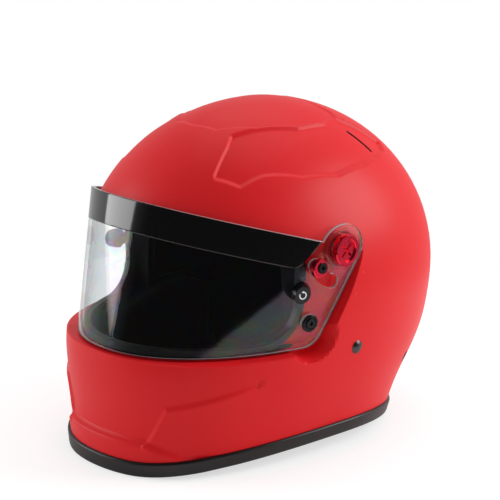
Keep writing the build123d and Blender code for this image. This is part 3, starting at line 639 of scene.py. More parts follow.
@dataclass(frozen=True)
class SideOutlines:
    """Outlines seen from the side, Y across and Z up, that the visor, its recess and the eye port share.

    The scoop is a place and a radius. The visor's top edge falls by the slope towards the back.
    """

    widest_y: float = 8.0
    pivot: Pair = (-13.0, 169.0)
    lobe: float = 20.0
    corner: float = 18.0
    rear_angle: float = 60.0
    foot: float = 94.0
    edge_height: float = 184.0
    edge_back: float = 60.0
    slope: float = 0.303
    port_y: float = -45.0
    port_foot: float = 97.5
    port_drop: float = 11.0
    port_radii: Pair = (32.0, 20.0)
    scoop: tuple[float, float, float] = (-41.0, 106.5, 22.5)
    band_width: float = 25.0
    band_end: float = 41.0
    band_lean: float = 19.0

    def edge(self, y: float, drop: float = 0.0) -> float:
        """Height of the visor's sloping top edge at a place, less a drop."""
        return self.edge_height - self.slope * (y - self.widest_y + self.edge_back) - drop

    def plate(self, grow: float) -> Array:
        """The outline of the visor's plate, without its round lobe at the pivot, grown outwards."""
        y, z = self.pivot
        lean, reach, foot = math.radians(self.rear_angle), self.lobe + grow, self.foot - grow
        touch = (y + reach * math.sin(lean), z - reach * math.cos(lean))
        heel = (touch[0] - (touch[1] - foot) / math.tan(lean), foot)
        corners = ((-FAR, foot), heel, touch, (y, z), (y, self.edge(y) + grow), (-FAR, self.edge(-FAR) + grow))
        return round_corners(corners, (0, self.corner + grow, 0, 0, 0, 0), 12)

    def visor_distance(self, sides: Array, grow: float) -> Array:
        """Distance to the outline of the visor's plate and lobe, grown outwards: negative inside it."""
        around = disc_distance(sides, (*self.pivot, self.lobe)) - grow
        return np.minimum(outline_distance(sides, self.plate(grow)), around)

    def port(self) -> Array:
        """The eye port's outline."""
        back, foot = self.port_y, self.port_foot
        top, front = self.edge(back, self.port_drop), self.edge(-FAR, self.port_drop)
        return round_corners(((-FAR, foot), (back, foot), (back, top), (-FAR, front)), (0, *self.port_radii, 0), 12)

    def band(self) -> Array:
        """The dark band's outline, whose ends lean forwards."""
        top = self.widest_y - self.band_end
        low = top - self.band_lean
        corners = (
            (-FAR, self.edge(-FAR, self.band_width)),
            (low, self.edge(low, self.band_width)),
            (top, self.edge(top)),
            (-FAR, self.edge(-FAR)),
        )
        return round_corners(corners, (0, self.band_width / 3, 0, 0), 10)


HELMET = HelmetForm()
VISOR = VisorForm()
OUTLINES = SideOutlines()


# ---- Finishes


def colour(code: str) -> tuple[float, float, float, float]:
    """A colour code in sRGB hex as linear red, green, blue and 1."""
    values = [int(code[i : i + 2], 16) / 255 for i in (0, 2, 4)]
    linear = [v / 12.92 if v <= 0.04045 else ((v + 0.055) / 1.055) ** 2.4 for v in values]
    return (*linear, 1.0)


class NodeTree:
    """A node tree that is written one node at a time."""

    def __init__(self, tree: bpy.types.NodeTree) -> None:
        """Empties the tree."""
        self.tree = tree
        tree.nodes.clear()

    def add(self, kind: str, inputs: dict | None = None, **settings: object) -> bpy.types.Node:
        """Adds a node.

        Args:
            kind: the node's type.
            inputs: what its sockets get, by name or place: a value, or another node's output socket.
            settings: the node's own options.

        Returns:
            The new node.
        """
        node = self.tree.nodes.new(kind)
        for name, value in settings.items():
            setattr(node, name, value)
        for key, value in (inputs or {}).items():
            if isinstance(value, bpy.types.NodeSocket):
                self.tree.links.new(value, node.inputs[key])
            else:
                node.inputs[key].default_value = value
        return node

    def place(self) -> bpy.types.NodeSocket:
        """The place on the object, in metres."""
        return self.add("ShaderNodeTexCoord").outputs["Object"]

    def bump(self, pattern: bpy.types.Node, strength: float, depth_mm: float) -> bpy.types.NodeSocket:
        """Normals that are tilted by a pattern, as if it were a relief of a depth."""
        inputs = {"Strength": strength, "Distance": depth_mm * MM, "Height": pattern.outputs[0]}
        return self.add("ShaderNodeBump", inputs).outputs[0]

    def surface(self, inputs: dict) -> None:
        """Ends the tree in one shader for the surface, with the given inputs."""
        shader = self.add("ShaderNodeBsdfPrincipled", inputs)
        self.add("ShaderNodeOutputMaterial", {0: shader.outputs[0]})


def new_material(name: str) -> tuple[Material, NodeTree]:
    """A material and its empty node tree."""
    material = bpy.data.materials.new(name)
    material.use_nodes = True
    return material, NodeTree(material.node_tree)


@dataclass(frozen=True)
class Lacquer:
    """Clear-coated paint over a laminate.

    The eye gets a red that is painted brighter where the shell turns away, a painted sheen, and soft white reflections
    that are strongest at grazing angles. A fine orange peel keeps them from being glassy.
    """

    name: str = "red_lacquer"
    code: str = "D00810"
    # The brighter red of the painted sheen, where the shell turns away.
    painted_sheen_code: str = "E42028"
    facing_blend: float = 0.45
    roughness: float = 0.5
    specular: float = 0.18
    coat: float = 0.16
    coat_roughness: float = 0.3
    peel_mm: float = 2.2
    peel: float = 0.02
    peel_depth_mm: float = 0.2

    def build(self) -> Material:
        """Makes the material."""
        material, tree = new_material(self.name)
        peel = tree.add("ShaderNodeTexNoise", {"Vector": tree.place(), "Scale": 1000 / self.peel_mm, "Detail": 1.0})
        bump = tree.bump(peel, self.peel, self.peel_depth_mm)
        # Painted sheen: the red is mixed towards a brighter red where the shell turns away from the eye.
        facing = tree.add("ShaderNodeLayerWeight", {"Blend": self.facing_blend}).outputs["Facing"]
        colours = {0: facing, 6: colour(self.code), 7: colour(self.painted_sheen_code)}
        paint_and_sheen = tree.add("ShaderNodeMix", colours, data_type="RGBA")
        tree.surface(
            {
                "Base Color": paint_and_sheen.outputs[2],
                "Roughness": self.roughness,
                "Specular IOR Level": self.specular,
                "Coat Weight": self.coat,
                "Coat Roughness": self.coat_roughness,
                "Normal": bump,
                "Coat Normal": bump,
            }
        )
        return material


@dataclass(frozen=True)
class Plain:
    """A rigid or rubbery finish of one colour.

    The eye gets a fine grain that breaks up its reflection, as moulded, plated or anodised faces do. The roughness
    wanders a little with the grain.
    """

    name: str
    code: str
    roughness: float
    metallic: float = 0.0
    coat: float = 0.0
    coat_roughness: float = 0.05
    grain_mm: float = 0.6
    grain: float = 0.05
    grain_depth_mm: float = 0.1
    wander: float = 0.12

    def build(self) -> Material:
        """Makes the material."""
        material, tree = new_material(self.name)
        noise = tree.add("ShaderNodeTexNoise", {"Vector": tree.place(), "Scale": 1000 / self.grain_mm, "Detail": 3.0})
        bump = tree.bump(noise, self.grain, self.grain_depth_mm)
        low, high = self.roughness * (1 - self.wander), min(1.0, self.roughness * (1 + self.wander))
        wear = tree.add("ShaderNodeMapRange", {0: noise.outputs[0], 1: 0.3, 2: 0.7, 3: low, 4: high})
        tree.surface(
            {
                "Base Color": colour(self.code),
                "Metallic": self.metallic,
                "Roughness": wear.outputs[0],
                "Coat Weight": self.coat,
                "Coat Roughness": self.coat_roughness,
                "Normal": bump,
            }
        )
        return material


@dataclass(frozen=True)
class ClearSheet:
    """Hard-coated clear plastic.

    The eye sees straight through it ahead, and gets a mirror at grazing angles, with faint colours in it from the
    strain of moulding. On back faces the index is turned over, so that light that leaves the sheet isn't all
    thrown back.
    """

    name: str = "clear_sheet"
    code: str = "F7F9FA"
    strain_mm: float = 46.0
    orders: float = 5.0
    index: float = 1.42
    tint: float = 0.3
    roughness: float = 0.05

    def build(self) -> Material:
        """Makes the material."""
        material, tree = new_material(self.name)
        pattern = {"Vector": tree.place(), "Scale": 1000 / self.strain_mm, "Detail": 2.0, "Distortion": 1.4}
        strain = tree.add("ShaderNodeTexNoise", pattern)
        turns = tree.add("ShaderNodeMath", {0: strain.outputs[0], 1: self.orders}, operation="MULTIPLY")
        hue = tree.add("ShaderNodeMath", {0: turns.outputs[0]}, operation="FRACT")
        rainbow = tree.add("ShaderNodeCombineColor", {0: hue.outputs[0], 1: self.tint, 2: 1.0}, mode="HSV")
        clear = tree.add("ShaderNodeBsdfTransparent", {0: colour(self.code)})
        metal = {"Base Color": rainbow.outputs[0], "Metallic": 1.0, "Roughness": self.roughness}
        mirror = tree.add("ShaderNodeBsdfPrincipled", metal)
        behind = tree.add("ShaderNodeNewGeometry").outputs["Backfacing"]
        index = tree.add("ShaderNodeMapRange", {0: behind, 3: self.index, 4: 1 / self.index})
        amount = tree.add("ShaderNodeFresnel", {0: index.outputs[0]})
        mix = tree.add("ShaderNodeMixShader", {0: amount.outputs[0], 1: clear.outputs[0], 2: mirror.outputs[0]})
        tree.add("ShaderNodeOutputMaterial", {0: mix.outputs[0]})
        return material


@dataclass(frozen=True)
class Cloth:
    """Knitted or woven cloth.

    The eye gets fine crossing ribs, whose pitch is about 0.6 of rib_mm, and a soft sheen from the loose fibres.
    """

    name: str
    code: str
    rib_mm: float
    sheen: float = 0.35
    depth: float = 0.35
    depth_mm: float = 0.4
    fuzz_scale: float = 1500.0
    roughness: float = 0.92
    specular: float = 0.08

    def build(self) -> Material:
        """Makes the material."""
        material, tree = new_material(self.name)
        place = tree.place()
        pattern = {"Vector": place, "Scale": 500 / self.rib_mm, "Distortion": 0.6, "Detail": 1.0}
        ribs = [tree.add("ShaderNodeTexWave", pattern, bands_direction=way).outputs[1] for way in ("Z", "DIAGONAL")]
        weave = tree.add("ShaderNodeMath", {0: ribs[0], 1: ribs[1]}, operation="ADD")
        fuzz = tree.add("ShaderNodeTexNoise", {"Vector": place, "Scale": self.fuzz_scale, "Detail": 4.0})
        height = tree.add("ShaderNodeMath", {0: weave.outputs[0], 1: fuzz.outputs[0]}, operation="ADD")
        tree.surface(
            {
                "Base Color": colour(self.code),
                "Roughness": self.roughness,
                "Specular IOR Level": self.specular,
                "Sheen Weight": self.sheen,
                "Sheen Roughness": 0.4,
                "Normal": tree.bump(height, self.depth, self.depth_mm),
            }
        )
        return material


@dataclass(frozen=True)
class Foam:
    """Beaded foam: the eye gets the closed cells as small flat-sided dimples on a dull dark face."""

    name: str = "beaded_foam"
    code: str = "131315"
    bead_mm: float = 3.2
    depth: float = 0.4
    depth_mm: float = 0.5
    roughness: float = 0.8
    specular: float = 0.1

    def build(self) -> Material:
        """Makes the material."""
        material, tree = new_material(self.name)
        pattern = {"Vector": tree.place(), "Scale": 1000 / self.bead_mm}
        beads = tree.add("ShaderNodeTexVoronoi", pattern, feature="DISTANCE_TO_EDGE")
        tree.surface(
            {
                "Base Color": colour(self.code),
                "Roughness": self.roughness,
                "Specular IOR Level": self.specular,
                "Normal": tree.bump(beads, self.depth, self.depth_mm),
            }
        )
        return material


class Finishes:
    """Every finish of the helmet, made once and kept by the record's slot."""

    def __init__(self) -> None:
        """Makes the materials."""
        self.by_slot: dict[str, Material] = {
            # Satin red over the whole shell, with a painted sheen that brightens it where it turns away.
            "shell": Lacquer().build(),
            # Dull black with the soft grain of moulded rubber.
            "edge_rubber": Plain("black_rubber", "09090A", 0.4, grain_mm=0.8, grain=0.12).build(),
            "visor_sheet": ClearSheet().build(),
            # Deep black with sharp reflections under its coat.
            "band": Plain("gloss_film", "050506", 0.1, coat=0.5, grain=0.005).build(),
            # Black foam, its colour taken down to near black in part as painted shade inside the shell.
            "foam": Foam().build(),
            # Black knit, near black in part as painted shade and almost without a sheen, so that the inside stays dark.
            "lining": Cloth("brushed_knit", "09090A", 1.1, sheen=0.06).build(),
            # Black with ribs that catch the light along their edges.
            "webbing": Cloth("woven_webbing", "0E0E10", 1.6, sheen=0.15, depth=0.7).build(),
            "snap": Plain("snap_plastic", "0E0E10", 0.22).build(),
            # Bright metal with slightly soft reflections.
            "ring_steel": Plain("bright_steel", "C9CBCF", 0.18, metallic=1.0).build(),
            # Red, as what is seen round the ring through the sheet.
            "boss": Plain("moulded_nylon", "B8101A", 0.45).build(),
            # Red metal whose reflections take its colour.
            "anodised": Plain("red_anodised", "F0304A", 0.22, metallic=0.95, grain_mm=0.3).build(),
            # Grey metal, duller than the rings.
            "fastener": Plain("zinc_plate", "A9ADB2", 0.3, metallic=1.0).build(),
            # Black metals with a satin gleam.
            "black_screw": Plain("black_oxide", "1A1A1C", 0.28, metallic=0.7).build(),
            "latch": Plain("black_anodised", "131315", 0.26, metallic=0.5).build(),
            "post": Plain("black_anodised_post", "131315", 0.3, metallic=0.5).build(),
            # Black plastic with a visible grain.
            "knob": Plain("moulded_knob", "0C0C0E", 0.24, grain=0.08).build(),
            # Warm dark grey metal.
            "rivet": Plain("gunmetal", "56504F", 0.34, metallic=1.0).build(),
            "insert": Plain("dark_anodised", "3A3A3E", 0.34, metallic=0.9).build(),
        }
        # The sheet's sawn edge, painted an opaque pale grey in place of the light that it catches: a painted highlight.
        self.sawn_edge_highlight = Plain("sawn_edge_painted_highlight", "A89CA0", 0.18, coat=1.0).build()
        # The shell's black inner face and its trimmed rims.
        self.laminate = Plain("raw_laminate", "0B0B0C", 0.7, grain_mm=1.5, grain=0.2).build()
        self.print_white = Plain("white_print", "F2F2F2", 0.5).build()

    def __getitem__(self, slot: str) -> Material:
        """The material of a slot."""
        return self.by_slot[slot]

    def dress_nodes(self) -> None:
        """Gives each CAD node that stays its slot's material."""
        slots = {row["node"]: row["material_slot"] for row in frame["record"]["subparts"]}
        for name, node in frame["nodes"].items():
            for holder in node.material_slots:
                holder.material = self[slots[name]]


# ---- The helmet's sub-assemblies


def fineness() -> int:
    return 3


@dataclass
class OuterShell:
    """The red laminate shell with its sunk crown and strips, its lip, visor recess, vents and holes.

    The crown and the strip are outlines seen from above, in shares of half the width and half the length. The vent is
    a slit: its place across and back as shares of the same, its turn in degrees, its length and its width. The insert
    is a hole: a point of its axis, Y and Z, the axis's turn in degrees and its radius. The chin line lies on the jaw
    unrolled, the way round across and the height up. A pair such as chin_back says where a fade starts and how far it
    goes.
    """

    finishes: Finishes
    wall: float = 3.5
    strip_sink: float = 2.4
    crown_draw: float = 0.055
    ledge: float = 3.2
    recess_margin: float = 2.5
    recess_depth: float = 5.0
    recess_wall: float = 1.15
    scoop_blend: float = 5.0
    scoop_extra: float = 6.0
    base_lift: float = 4.0
    base_flat: float = 32.0
    base_rise: float = 10.0
    arc_share: float = 0.9
    lip_blend: float = 4.0
    lip_line: Corners = ((-82, -30), (82, -30), (82, 12), (46, 29), (-46, 29), (-82, 12))
    crown: Corners = (
        (0.000, -0.390), (0.198, -0.366), (0.372, -0.207), (0.463, 0.000),
        (0.455, 0.171), (0.380, 0.317), (0.306, 0.330), (0.215, 0.299), (0.000, 0.262),
    )  # fmt: skip
    strip: Corners = (
        (0.430, -0.545), (0.587, -0.463), (0.625, -0.341), (0.727, -0.159), (0.769, 0.043), (0.727, 0.250),
        (0.661, 0.390), (0.562, 0.512), (0.463, 0.555), (0.440, 0.500), (0.370, 0.310), (0.440, 0.171),
        (0.445, 0.000), (0.355, -0.200), (0.300, -0.340), (0.350, -0.400),
    )  # fmt: skip
    plan_corner: float = 3.6
    high_from: float = 150.0
    vent: tuple[float, float, float, float, float] = (0.545, 0.352, 45.0, 21.0, 3.0)
    insert: tuple[float, float, float, float] = (22.0, 57.0, 33.0, 4.5)
    chin_line: Corners = (
        (33, -30), (37, 26), (52, 58), (74.5, 64), (98.5, 71), (130, 80), (190, 104), (190, -30),
    )  # fmt: skip
    chin_step: float = 2.6
    chin_blend: float = 4.0
    chin_fade: float = 20.0
    chin_scale: float = 140.0
    chin_back: Pair = (88.0, 34.0)
    chin_base: Pair = (14.0, 20.0)
    chin_least: float = 0.05
    scoop_top: Pair = (102.0, 8.0)
    cells: tuple[int, int] = (128, 48)
    reaches: Numbers = (11.0, 5.0, 1.1)
    holes: int = 4

    def base_height(self, x: Array) -> Array:
        """Height of the base edge across the helmet: level ahead, then climbing arcs."""
        run = HELMET.base_shares[1] * HELMET.half - self.base_flat
        radius = (run**2 + self.base_rise**2) / (2 * self.base_rise)
        past = np.clip(np.abs(x) - self.base_flat, 0, radius * self.arc_share)
        return radius - np.sqrt(radius**2 - past**2)

    def plan_outline(self, shares: Sequence[Pair], mirror: bool = False) -> Array:
        """A rounded outline seen from above, from its corners in shares of the sizes."""
        points = [(x * HELMET.half, y * HELMET.length / 2) for x, y in shares]
        if mirror:
            points += [(-x, y) for x, y in reversed(points[1:-1])]
        return round_corners(points, [self.plan_corner] * len(points), 5)

    def vent_distance(self, points: Array) -> Array:
        """Distance from above to the slit of the nearer rear vent."""
        across, back, turn, length, wide = self.vent
        shift = np.stack([np.abs(points[:, 0]) - across * HELMET.half, points[:, 1] - back * HELMET.length / 2], 1)
        way, half = heading(turn), (length - wide) / 2
        along = np.clip(shift @ way, -half, half)
        return np.hypot(*(shift - along[:, None] * way).T) - wide / 2

    def insert_distance(self, points: Array) -> Array:
        """Distance across its axis to the nearer anchor insert's hole, beside the back of the head."""
        y, z, turn, radius = self.insert
        way = np.append(heading(turn), 0)
        shift = np.stack([np.abs(points[:, 0]), points[:, 1] - y, points[:, 2] - z], 1)
        along = shift @ way
        out = np.linalg.norm(shift - along[:, None] * way, axis=1) - radius
        return np.where(along > 0, out, AWAY)

    def lines(self, points: Array) -> Array:
        """Distances to the shell's lines, one column for each.

        The first of them, as many as holes says, are cut out: port, vents, inserts and base. The others are the
        outer and inner edges of what is sunk: recess, strip and crown.
        """
        sides = points[:, 1:]
        high = points[:, 2] > self.high_from
        plan = np.stack([np.abs(points[:, 0]), points[:, 1]], 1)
        strip = np.where(high, outline_distance(plan, self.plan_outline(self.strip)), AWAY)
        crown = np.where(high, outline_distance(plan, self.plan_outline(self.crown, True)), AWAY)
        recess = OUTLINES.visor_distance(sides, self.recess_margin)
        return np.stack(
            [
                outline_distance(sides, OUTLINES.port()),
                np.where(high, self.vent_distance(points), AWAY),
                self.insert_distance(points),
                points[:, 2] - self.base_height(points[:, 0]) - self.base_lift,
                recess,
                recess + self.recess_wall,
                strip,
                strip + self.ledge,
                crown,
                crown + self.ledge,
            ],
            1,
        )

    def scoop_distance(self, points: Array) -> Array:
        """Distance from the side to the thumb scoop's rim."""
        return disc_distance(points[:, 1:], OUTLINES.scoop)

    def chin_depth(self, points: Array) -> tuple[Array, Array]:
        """Distance below the jaw's crease, and how much of it is left: it fades to the base and to the back."""
        turn = np.arctan2(np.abs(points[:, 0]), HELMET.widest_y - points[:, 1])
        places = np.stack([turn * self.chin_scale, points[:, 2]], 1)
        depth = -outline_distance(places, np.array(self.chin_line, float))
        ahead = 1 - ease((places[:, 0] - self.chin_back[0]) / self.chin_back[1])
        return depth, ahead * ease((points[:, 2] - self.chin_base[0]) / self.chin_base[1])

    def chin_rise(self, points: Array) -> Array:
        """How far the jaw stands out below its crease."""
        depth, share = self.chin_depth(points)
        rise = self.chin_step * ease(depth / self.chin_blend)
        return rise * np.exp(-np.maximum(depth, 0) / self.chin_fade) * share

    def lip_distance(self, points: Array) -> Array:
        """Distance from ahead to the chin lip's upper edge."""
        return outline_distance(points[:, [0, 2]], np.array(self.lip_line, float))

    def shape(self, places: Array) -> Array:
        """The shell's outer face at places on the unit square.

        The crown and strips are sunk and the jaw is raised, then the lip is pushed ahead, and last the recess and the
        scoop are carried in towards the visor's form.
        """
        points, normals = HELMET.at(places), HELMET.normals(places)
        recess, _, strip, _, crown, _ = self.lines(points)[:, self.holes :].T
        drawn = self.crown_draw * (points[:, 0] * normals[:, 0] + (points[:, 1] - HELMET.widest_y) * normals[:, 1])
        sink = np.maximum(self.strip_sink * ease(-strip / self.ledge), drawn * ease(-crown / self.ledge))
        points = points + (self.chin_rise(points) - sink)[:, None] * normals
        forward = np.clip((HELMET.widest_y - points[:, 1]) / (HELMET.front_reach * HELMET.base_shares[0]), 0, 1)
        points[:, 1] -= HELMET.lip_step * ease(-self.lip_distance(points) / self.lip_blend) * forward
        scoop = self.scoop_distance(points)
        share = np.maximum(ease(-recess / self.recess_wall), ease(-scoop / self.scoop_blend))
        inside = np.flatnonzero(share > 0)
        below = ease((self.scoop_top[0] - points[:, 2]) / self.scoop_top[1])
        dropped = VISOR.drop_onto(points[inside], -self.recess_depth)
        dropped -= (self.scoop_extra * below[inside])[:, None] * normals[inside]
        points[inside] += share[inside, None] * (dropped - points[inside])
        return points

    def nearest(self, places: Array) -> Array:
        """Distance to the nearest line or soft edge, at places on the unit square."""
        points = HELMET.at(places)
        lip = np.abs(self.lip_distance(points) + self.lip_blend / 2)
        lip = np.where(points[:, 1] < HELMET.widest_y, lip, AWAY)
        depth, share = self.chin_depth(points)
        crease = np.where(share > self.chin_least, np.abs(depth - self.chin_blend / 2), AWAY)
        scoop = np.abs(self.scoop_distance(points) + self.scoop_blend / 2)
        return np.min([np.abs(self.lines(points)).min(1), lip, crease, scoop], 0)

    def build(self) -> None:
        """Makes the shell's skin with its wall."""
        depth = fineness()
        grid = CellGrid(*self.cells, depth, closed=True, pole=True)
        grid.refine(self.nearest, self.reaches[:depth])
        skin = Skin.cut(grid, lambda places: self.lines(HELMET.at(places))[:, : self.holes], self.holes)
        shell = new_object("shell_skin", self.shape(skin.places), skin.faces, self.finishes["shell"], sharp=32)
        shell.data.materials.append(self.finishes.laminate)
        solidify(shell, self.wall)
        shell.modifiers["wall"].material_offset = 1
        shell.modifiers["wall"].material_offset_rim = 1
        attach(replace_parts(shell, "outer_shell"), "helmet")


@dataclass
class NeckTrim:
    """The rounded rubber bead along the base edge."""

    finishes: Finishes
    shell: OuterShell
    height: float = 12.0
    wall: float = 2.4
    bite: float = 0.6
    sole: float = 3.0
    radii: Numbers = (2.3, 2.0, 0.2, 0, 0, 0.2, 1.6, 2.3)
    count: int = 360
    first_v: float = 0.06
    turns: int = 30

    def build(self) -> None:
        """Sweeps the bead along the base edge, whose place on the form is found step by step."""
        u = np.linspace(0, 1, self.count, endpoint=False)
        v = np.full(self.count, self.first_v)
        for _ in range(self.turns):
            points = self.shell.shape(np.stack([u, v], 1))
            gap = points[:, 2] - self.shell.base_height(points[:, 0]) - self.height / 2
            v -= gap / ((HELMET.shoulder - HELMET.foot) / HELMET.shoulder_share)
        out = HELMET.normals(np.stack([u, v], 1))
        high, wall, shell = self.height / 2, self.wall, self.shell.wall
        foot = -high + self.sole
        corners = (
            (wall, -high), (wall, high), (-self.bite, high), (-self.bite, foot),
            (-shell, foot), (-shell, high), (-shell - wall, high), (-shell - wall, -high),
        )  # fmt: skip
        profile = round_corners(corners, self.radii, 5)
        bead = sweep("base_trim", points, out, profile, self.finishes["edge_rubber"], closed=True)
        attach(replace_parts(bead, "neck_trim"), "helmet")


@dataclass
class VisorSheet:
    """The clear sheet with its flat hubs, latch holes and scalloped detent slots, and its black band.

    The hub is flat out to its first number, blends out to its second and lies at its third across. The latch hole is
    a place and a radius. The detent slot is its distance from the pivot, the angle below level where it starts, and
    half its width.
    """

    finishes: Finishes
    wall: float = 3.0
    hub: tuple[float, float, float] = (15.0, 18.5, 117.4)
    latch: tuple[float, float, float] = (-39.5, 114.0, 6.5)
    detent: tuple[float, float, float] = (26.0, 22.0, 5.0)
    travel: float = 50.0
    slack: float = 1.0
    scallops: int = 4
    scallop_depth: float = 1.1
    spigot: float = 9.1
    band_wall: float = 0.35
    band_inset: float = 0.2
    band_gap: float = 0.04
    cells: tuple[int, int] = (110, 26)
    reaches: Numbers = (10.0, 5.0, 2.4)

    def slot_distance(self, sides: Array) -> Array:
        """Distance to the curved detent slot with its scallops."""
        y, z = OUTLINES.pivot
        reach, first, half = self.detent
        low, high = first - self.slack, first + self.travel + self.slack
        radius = disc_distance(sides, (y, z, 0))
        below = np.degrees(np.arctan2(z - sides[:, 1], y - sides[:, 0]))
        held = np.radians(np.clip(below, low, high))
        out = np.hypot(sides[:, 0] - y + reach * np.cos(held), sides[:, 1] - z + reach * np.sin(held)) - half
        out = np.where((below > low) & (below < high), np.abs(radius - reach) - half, out)
        for index in range(self.scallops):
            turn = math.radians(first + self.travel * index / (self.scallops - 1))
            near = reach - self.scallop_depth
            spot = (y - near * math.cos(turn), z - near * math.sin(turn), half)
            out = np.minimum(out, disc_distance(sides, spot))
        return out

    def lines(self, points: Array) -> Array:
        """Distances to the sheet's edge, holes and slots, negative where the sheet is cut away."""
        sides = points[:, 1:]
        latch, spigot = (disc_distance(sides, disc) for disc in (self.latch, (*OUTLINES.pivot, self.spigot)))
        return np.stack([-OUTLINES.visor_distance(sides, 0), latch, self.slot_distance(sides), spigot], 1)

    def shape(self, places: Array) -> Array:
        """The sheet's outer face, drawn in to a flat hub round each pivot."""
        points = VISOR.at(places)
        near, far, face = self.hub
        around = disc_distance(points[:, 1:], (*OUTLINES.pivot, 0))
        share = ease((far - around) / (far - near))
        flat = np.sign(points[:, 0]) * face
        points[:, 0] += share * (flat - points[:, 0])
        return points

    def build(self) -> None:
        """Makes the sheet and the band."""
        skin = self.cut(lambda places: self.lines(VISOR.at(places)), 4)
        sheet = new_object("visor_clear", self.shape(skin.places), skin.faces, self.finishes["visor_sheet"], sharp=40)
        # The rim gets the sawn edge's painted highlight, an opaque pale grey.
        sheet.data.materials.append(self.finishes.sawn_edge_highlight)
        solidify(sheet, self.wall)
        sheet.modifiers["wall"].material_offset_rim = 1
        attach(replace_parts(sheet, "visor"), "visor_assembly")
        self.build_band()

    def cut(self, lines: Callable[[Array], Array], holes: int) -> Skin:
        """A skin on the visor's form, fine near the lines and cut along them."""
        depth = fineness()
        grid = CellGrid(*self.cells, depth)
        grid.refine(lambda places: np.abs(lines(places)).min(1), self.reaches[:depth])
        return Skin.cut(grid, lines, holes)

    def build_band(self) -> None:
        """Makes the band as a film on the sheet's face."""
        outline = OUTLINES.band()

        def lines(places: Array) -> Array:
            """Distances to the band's outline and to the sheet's edge."""
            sides = VISOR.at(places)[:, 1:]
            edge = OUTLINES.visor_distance(sides, -self.band_inset)
            return np.stack([-outline_distance(sides, outline), -edge], 1)

        skin = self.cut(lines, 2)
        points = VISOR.at(skin.places, self.band_gap)
        band = new_object("visor_band_film", points, skin.faces, self.finishes["band"], sharp=40)
        solidify(band, self.band_wall, 1.0)
        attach(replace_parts(band, "visor_band"), "visor_assembly")


